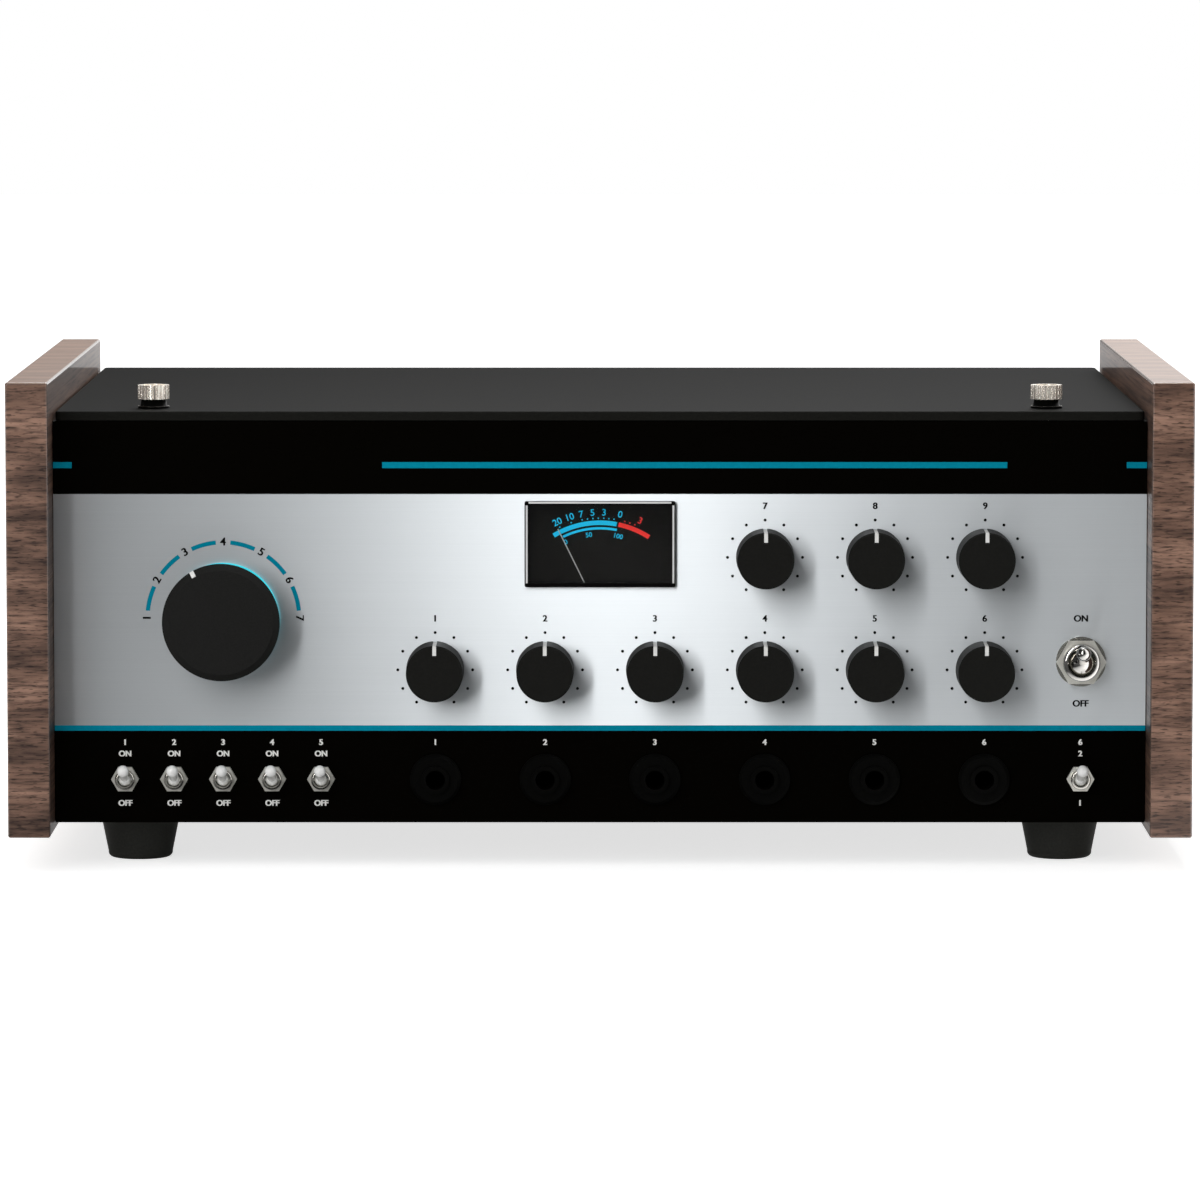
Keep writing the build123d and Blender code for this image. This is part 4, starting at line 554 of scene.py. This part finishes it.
def printed(name, drawings, material, body="case"):
    """One thin piece made of flat drawings, each with the matrix that places it."""
    whole = bmesh.new()
    for data, matrix in drawings:
        temp = bpy.data.objects.new("temp", data)
        bpy.context.scene.collection.objects.link(temp)
        bpy.context.view_layer.update()
        graph = bpy.context.evaluated_depsgraph_get()
        mesh = bpy.data.meshes.new_from_object(temp.evaluated_get(graph))
        mesh.transform(matrix)
        whole.from_mesh(mesh)
        bpy.data.objects.remove(temp)
    mesh = bpy.data.meshes.new(name)
    whole.to_mesh(mesh)
    whole.free()
    return piece(name, mesh, material, body)


def turned(name, profile, centre, axis, material, body, steps=64):
    """Revolves (radius, distance along the axis) points, in mm, about an axis through centre."""
    shape = bmesh.new()
    along = Vector(axis).normalized()
    side = along.orthogonal().normalized()
    rings = []
    for radius, distance in profile:
        ring = []
        for i in range(steps):
            out = Matrix.Rotation(math.tau * i / steps, 3, along) @ side
            ring.append(shape.verts.new(
                Vector(centre) + along * (distance * MM) + out * (radius * MM)))
        rings.append(ring)
    for lower, upper in zip(rings, rings[1:]):
        for i in range(steps):
            j = (i + 1) % steps
            shape.faces.new((lower[i], lower[j], upper[j], upper[i]))
    bmesh.ops.recalc_face_normals(shape, faces=shape.faces)
    mesh = bpy.data.meshes.new(name)
    shape.to_mesh(mesh)
    shape.free()
    for face in mesh.polygons:
        face.use_smooth = True
    piece(name, mesh, material, body)


# =========================================================================== panel sheet and print
def panel_sheet():
    """The brushed sheet, cut out for the controls, with coordinates that follow its brushing."""
    holes = [circle(PIVOT[name].x, PIVOT[name].z, POT_HOLE) for name in POTS]
    holes.append(circle(MODE.x, MODE.z, MODE_HOLE))
    holes.append(circle(POWER.x, POWER.z, POWER_HOLE))
    half_wide, half_high = BEZEL_HALF_WIDE - 0.6 * MM, BEZEL_HALF_HIGH - 0.8 * MM
    holes.append(rectangle(-half_wide, BEZEL_Z - half_high, half_wide, BEZEL_Z + half_high))
    sheet = rectangle(-HALF, SILVER_LOW, HALF, SILVER_TOP)
    made = printed("brushed_sheet",
                   [(flat_shape([sheet] + holes, SHEET), standing(y=FACE - SHEET / 2))], BRUSHED)
    layer = made.data.uv_layers.new(name="drawn")
    for loop in made.data.loops:
        point = made.data.vertices[loop.vertex_index].co
        layer.data[loop.index].uv = (point.z * 2, point.x * 2)


def bands():
    """Black bands above and below the brushed sheet, and the teal line and stripe."""
    sockets = [circle(socket.x, socket.z, SOCKET_HOLE) for socket in JACKS]
    bushings = [circle(PIVOT[name].x, PIVOT[name].z, TOGGLE_HOLE) for name in TOGGLES]
    low_band = rectangle(-HALF, panel_low.z, HALF, LOWER_BAND_TOP)
    top_band = rectangle(-HALF, SILVER_TOP, HALF, panel_high.z)
    at = standing(y=FACE - SHEET / 2)
    printed("black_bands", [(flat_shape([low_band] + sockets + bushings, SHEET), at),
                            (flat_shape([top_band], SHEET), at)], BLACK_INK)
    line = rectangle(-HALF, LOWER_BAND_TOP, HALF, SILVER_LOW)
    stripes = [rectangle(left * MM, STRIPE_Z - STRIPE_WIDE / 2, right * MM,
                         STRIPE_Z + STRIPE_WIDE / 2) for left, right in STRIPE_SPANS]
    printed("teal_lines", [(flat_shape([line], SHEET), at),
                           (flat_shape(stripes, INK), standing(y=ON_SHEET))], TEAL_INK)


def knob_dots():
    """Eleven dots round each small knob, 30 degrees apart."""
    dots = []
    for name in POTS:
        for i in range(DOT_COUNT):
            angle = math.radians(DOT_FIRST + STEP * i)
            dots.append(circle(PIVOT[name].x + DOT_RING * math.cos(angle),
                               PIVOT[name].z + DOT_RING * math.sin(angle), DOT_R, DOT_SIDES))
    printed("knob_dots", [(flat_shape(dots, INK), standing(y=ON_SHEET))], DARK_INK)


def mode_dial():
    """Numbers 1 to 7 round the selector, with an arc between each pair."""
    numbers = []
    arcs = []
    for number in range(1, 8):
        angle = 180 - STEP * (number - 1)
        x = MODE.x + DIAL_RING * math.cos(math.radians(angle))
        z = MODE.z + DIAL_RING * math.sin(math.radians(angle))
        numbers += struck(str(number), DIAL_NUMBER, standing(x, ON_SHEET, z, angle - 90))
        if number > 1:
            arcs.append(arc_band(MODE.x, MODE.z, *DIAL_ARC, angle + DIAL_GAP,
                                 angle + STEP - DIAL_GAP))
    printed("mode_numbers", numbers, DARK_INK)
    printed("mode_arcs", [(flat_shape(arcs, INK), standing(y=ON_SHEET))], TEAL_INK)


def legends():
    """Switch legends, and plain numerals where the controls' names would be."""
    dark = struck("ON", LETTER, standing(POWER.x, ON_SHEET, POWER_ON_Z))
    dark += struck("OFF", LETTER, standing(POWER.x, ON_SHEET, POWER_OFF_Z))
    for number, name in enumerate(POTS, 1):
        dark += struck(str(number), LETTER, standing(PIVOT[name].x, ON_SHEET,
                                                     PIVOT[name].z + NUMERAL_ABOVE_KNOB))
    printed("legends_dark", dark, DARK_INK)

    white = []
    for number, name in enumerate(TOGGLES, 1):
        x = PIVOT[name].x
        up, down = ("2", "1") if name == "output_level_flick" else ("ON", "OFF")
        white += struck(up, SMALL_LETTER, standing(x, ON_SHEET, TOGGLE_UP_Z))
        white += struck(down, SMALL_LETTER, standing(x, ON_SHEET, TOGGLE_DOWN_Z))
        white += struck(str(number), SMALL_LETTER, standing(x, ON_SHEET, BAND_NUMERAL_Z))
    for number, socket in enumerate(JACKS, 1):
        white += struck(str(number), SMALL_LETTER, standing(socket.x, ON_SHEET, BAND_NUMERAL_Z))
    printed("legends_white", white, WHITE_INK)


panel_sheet()
bands()
knob_dots()
mode_dial()
legends()


# =========================================================================== knob marks
def mark(half_wide, low, high, thick):
    """Drawing of an inlay, its measures in mm."""
    return flat_shape([rectangle(-half_wide * MM, low * MM, half_wide * MM, high * MM)],
                      thick * MM)


def knob_marks():
    """White inlays in the slots that are cut in the knobs' faces and sides."""
    edge = FACE_MARK[2] * MM
    for name in POTS:
        knob = name.removesuffix("_turn")
        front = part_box("knob_" + knob)[0].y
        x, z = PIVOT[name].x, PIVOT[name].z
        along_side = Matrix.Translation((x, front, z + edge)) @ Matrix.Rotation(math.pi, 4, "X")
        printed("mark_" + knob, [(mark(*FACE_MARK), standing(x, front + FACE_MARK_DEEP, z)),
                                 (mark(*SIDE_MARK), along_side)],
                WHITE_INK, BODY_OF[name])
    low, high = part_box("mode_knob")
    middle = Matrix.Translation((0, (high.x - low.x - BEVEL_WIDE) / 2, -MODE_MARK_DEEP))
    lie = standing(MODE.x, low.y + BEVEL_WIDE * BEVEL_SLOPE / 2, MODE.z, MODE_LEAN) @ middle
    lie = lie @ Matrix.Rotation(-math.atan(BEVEL_SLOPE), 4, "X")
    printed("mark_mode", [(mark(*MODE_MARK), lie)], WHITE_INK, "mode_selector")


knob_marks()


# =========================================================================== meter
def meter_scale():
    """The dial's arcs and numbers, drawn about a centre just above the needle's pivot."""
    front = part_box("vu_dial")[0].y - INK / 2
    x, z = PIVOT["needle_swing"].x, SCALE_CENTRE_Z

    def band(radii, left, right):
        """Band between two radii, from an angle on the left to one on the right."""
        inner, outer = radii
        outline = arc_band(x, z, inner * MM, outer * MM, 90 + right, 90 + left)
        return [(flat_shape([outline], INK), standing(y=front))]

    def place(radius, lean):
        """Where a drawing stands on a circle about the centre, turned with it."""
        angle = math.radians(90 + lean)
        return standing(x + radius * MM * math.cos(angle), front,
                        z + radius * MM * math.sin(angle), lean)

    def numerals(radius, size, *words_at):
        """Figures, each a text and its angle."""
        return [(flat_text(words, size * MM, INK, SCALE_BOLD), place(radius, lean))
                for words, lean in words_at]

    def ticks(*leans):
        """Dots over the upper arc."""
        return [(flat_shape([circle(0, 0, TICK_R * MM, TICK_SIDES)], INK), place(TICK_RING, lean))
                for lean in leans]

    blue = band(UPPER_ARC, 31, -10.7) + band(LOWER_ARC, 26, -11.5)
    blue += ticks(25.2, 17.7, 10.9, 7.6, 4.3, 1.0, -2.3, -5.4, -8.5)
    blue += numerals(*UPPER_FIGURES, ("20", 25.2), ("10", 17.7), ("7", 10.9), ("5", 4.3),
                     ("3", -2.3), ("0", -11.6))
    blue += numerals(*LOWER_FIGURES, ("0", 25.8), ("50", 8.2), ("100", -13.2))
    printed("scale_blue", blue, METER_BLUE)
    red = band(UPPER_ARC, -11.9, -33) + ticks(-15.2, -18.4, -21.6)
    red += numerals(*UPPER_FIGURES, ("3", -23.6))
    printed("scale_red", red, METER_RED)


def meter_frame():
    """Painted highlight: a bright line along the left, top and right of the meter's rim, where the
    rim catches the light, none along the bottom; open at the corners.
    """
    thick = 0.12 * MM
    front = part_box("vu_meter_case")[0].y - thick / 2
    edge, wide, corner, foot = 0.4 * MM, 0.6 * MM, 1.35 * MM, 1.3 * MM
    left, top = BEZEL_HALF_WIDE - edge, BEZEL_Z + BEZEL_HALF_HIGH - 0.15 * MM
    lines = [rectangle(side * left, BEZEL_Z - BEZEL_HALF_HIGH + foot, side * (left - wide),
                       BEZEL_Z + BEZEL_HALF_HIGH - corner) for side in (-1, 1)]
    lines.append(rectangle(corner - BEZEL_HALF_WIDE, top - wide, BEZEL_HALF_WIDE - corner, top))
    printed("meter_rim_highlight", [(flat_shape([line], thick), standing(y=front)) for line in lines],
            BEZEL_HIGHLIGHT)


meter_scale()
meter_frame()


# =========================================================================== metal trim
def collars():
    """Black collars under the knurled heads of the cover screws."""
    profile = [(2.2, 0.0), (5.26, 0.0), (5.26, 0.5), (4.4, 0.62), (4.08, 2.9), (2.2, 2.9)]
    above_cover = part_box("top_cover")[1].z + 0.18 * MM
    for side in ("left", "right"):
        pivot = PIVOT[f"screw_{side}_spin"]
        turned(f"thumb_collar_{side}", profile, (pivot.x, pivot.y, above_cover), (0, 0, 1),
               COLLAR, f"screw_{side}")


def ridges(bore, root, crest, start, rise, pitch, count, tip, end):
    """Profile of a threaded bushing: ridges from start, each with its crest rise further on."""
    profile = [(bore, start)]
    for i in range(count):
        profile += [(root, start + i * pitch), (crest, start + rise + i * pitch)]
    return profile + [(tip, end), (bore, end)]


def bushing_threads():
    """Thread ridges on the toggle bushings in front of their nuts."""
    toggle_profile = ridges(bore=2.6, root=3.1, crest=3.24, start=2.0, rise=0.22, pitch=0.45,
                            count=5, tip=3.05, end=4.35)
    for name in TOGGLES:
        place = PIVOT[name]
        turned("thread_" + name.removesuffix("_flick"), toggle_profile, (place.x, FACE, place.z),
               (0, -1, 0), NICKEL, "case", 40)
    power_profile = ridges(bore=4.75, root=5.95, crest=6.12, start=3.4, rise=0.25, pitch=0.5,
                           count=6, tip=5.8, end=6.6)
    turned("thread_power", power_profile, (POWER.x, FACE, POWER.z), (0, -1, 0), CHROME, "case")


collars()
bushing_threads()


# =========================================================================== stage, light, camera
def floor():
    """Pale floor that shows white to the camera and keeps the object's shadow, with less glow
    near the object than far off; metal sees it only beside and behind the object."""
    bpy.ops.mesh.primitive_plane_add(size=12)
    plane = bpy.context.object
    plane.name = "floor"
    made = Shader("floor_white")
    path = made.node("ShaderNodeLightPath").outputs
    place = made.axes()
    behind = made.math("GREATER_THAN", place["Y"], FACE)
    through = made.math("MULTIPLY", path["Is Transmission Ray"], behind)
    clear = made.math("MAXIMUM", path["Is Camera Ray"], through)
    beside = made.beside(made.azimuth(place["X"], place["Y"]))
    mirrored = made.math("MULTIPLY", path["Is Glossy Ray"], beside)
    hidden = made.math("SUBTRACT", path["Is Glossy Ray"], mirrored)
    made.set(Base_Color=made.mix(hidden, FLOOR_WHITE, FLOOR_HIDDEN), Roughness=0.9)
    made.set(Emission_Color=(1, 1, 1, 1))
    off = [made.math("ABSOLUTE", place[axis]) for axis in "XY"]
    glow = made.span(made.math("MAXIMUM", *off), GLOW_NEAR, GLOW_FAR, NEAR, FAR)
    seen = made.math("MAXIMUM", clear, mirrored)
    made.set(Emission_Strength=made.math("MULTIPLY", seen, glow))
    plane.data.materials.append(made.mat)


def world():
    """White background and grey fill. Metal sees a dark sector in front with one grey patch in
    it, and elsewhere a room that gets brighter to the right."""
    room = bpy.data.worlds.new("studio")
    bpy.context.scene.world = room
    room.use_nodes = True
    net = Net(room.node_tree)
    path = net.node("ShaderNodeLightPath").outputs
    way = net.axes("Generated")
    azimuth = net.azimuth(way["X"], way["Y"])
    off_patch = net.math("ABSOLUTE", net.math("SUBTRACT", azimuth, PATCH_MIDDLE))
    front = net.span(off_patch, PATCH_LEVEL, 0.0, PATCH_CORE, PATCH_EDGE)
    elsewhere = net.span(way["X"], ROOM_LEFT, ROOM_RIGHT, -ROOM_TURN, ROOM_TURN)
    gloss = net.mix(net.beside(azimuth), front, elsewhere)
    around = net.mix(path["Is Glossy Ray"], FILL, gloss)
    behind = net.math("GREATER_THAN", way["Y"], 0.0)
    through = net.math("MULTIPLY", path["Is Transmission Ray"], behind)
    clear = net.math("MAXIMUM", path["Is Camera Ray"], through)
    back = room.node_tree.nodes["Background"].inputs
    net.put(back["Strength"], net.mix(clear, around, 1.0))
    net.put(back["Color"], (1, 1, 1, 1))


def softbox(name, place, target, wide, high, power, diffuse=True, glossy=True):
    """Area lamp aimed at a target; diffuse and glossy say whether it lights matt surfaces and
    whether it is mirrored."""
    data = bpy.data.lights.new(name, "AREA")
    data.shape = "RECTANGLE"
    data.size = wide
    data.size_y = high
    data.energy = power
    lamp = bpy.data.objects.new(name, data)
    bpy.context.scene.collection.objects.link(lamp)
    lamp.location = place
    lamp.rotation_euler = (Vector(target) - Vector(place)).to_track_quat("-Z", "Y").to_euler()
    lamp.visible_diffuse = diffuse
    lamp.visible_glossy = glossy
    lamp.visible_camera = False


def camera():
    """Long lens in front of the cheeks, looking a little down."""
    back, up, degrees_down = 2.390, 0.2985, 5.253
    data = bpy.data.cameras.new("camera")
    data.lens = 219.3
    data.sensor_width = 36.0
    data.clip_start = 0.1
    data.clip_end = 40
    eye = bpy.data.objects.new("camera", data)
    bpy.context.scene.collection.objects.link(eye)
    cheek_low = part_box("left_cheek")[0]
    eye.location = (0, cheek_low.y - back, cheek_low.z + up)
    eye.rotation_euler = (math.radians(90 - degrees_down), 0, 0)
    bpy.context.scene.camera = eye


floor()
world()
PANEL_MIDDLE = (0, -0.1, 0.08)
softbox("key", (-0.95, -1.15, 0.85), PANEL_MIDDLE, 2.2, 1.5, 15.8, glossy=False)
softbox("streak", (-0.55, -1.25, 0.65), PANEL_MIDDLE, 0.1, 1.2, 5.8, diffuse=False)
softbox("overhead", (0.0, 0.25, 0.85), (0.05, 0, 0.15), 0.5, 0.5, 9)
camera()
bpy.context.scene.view_settings.view_transform = "Standard"
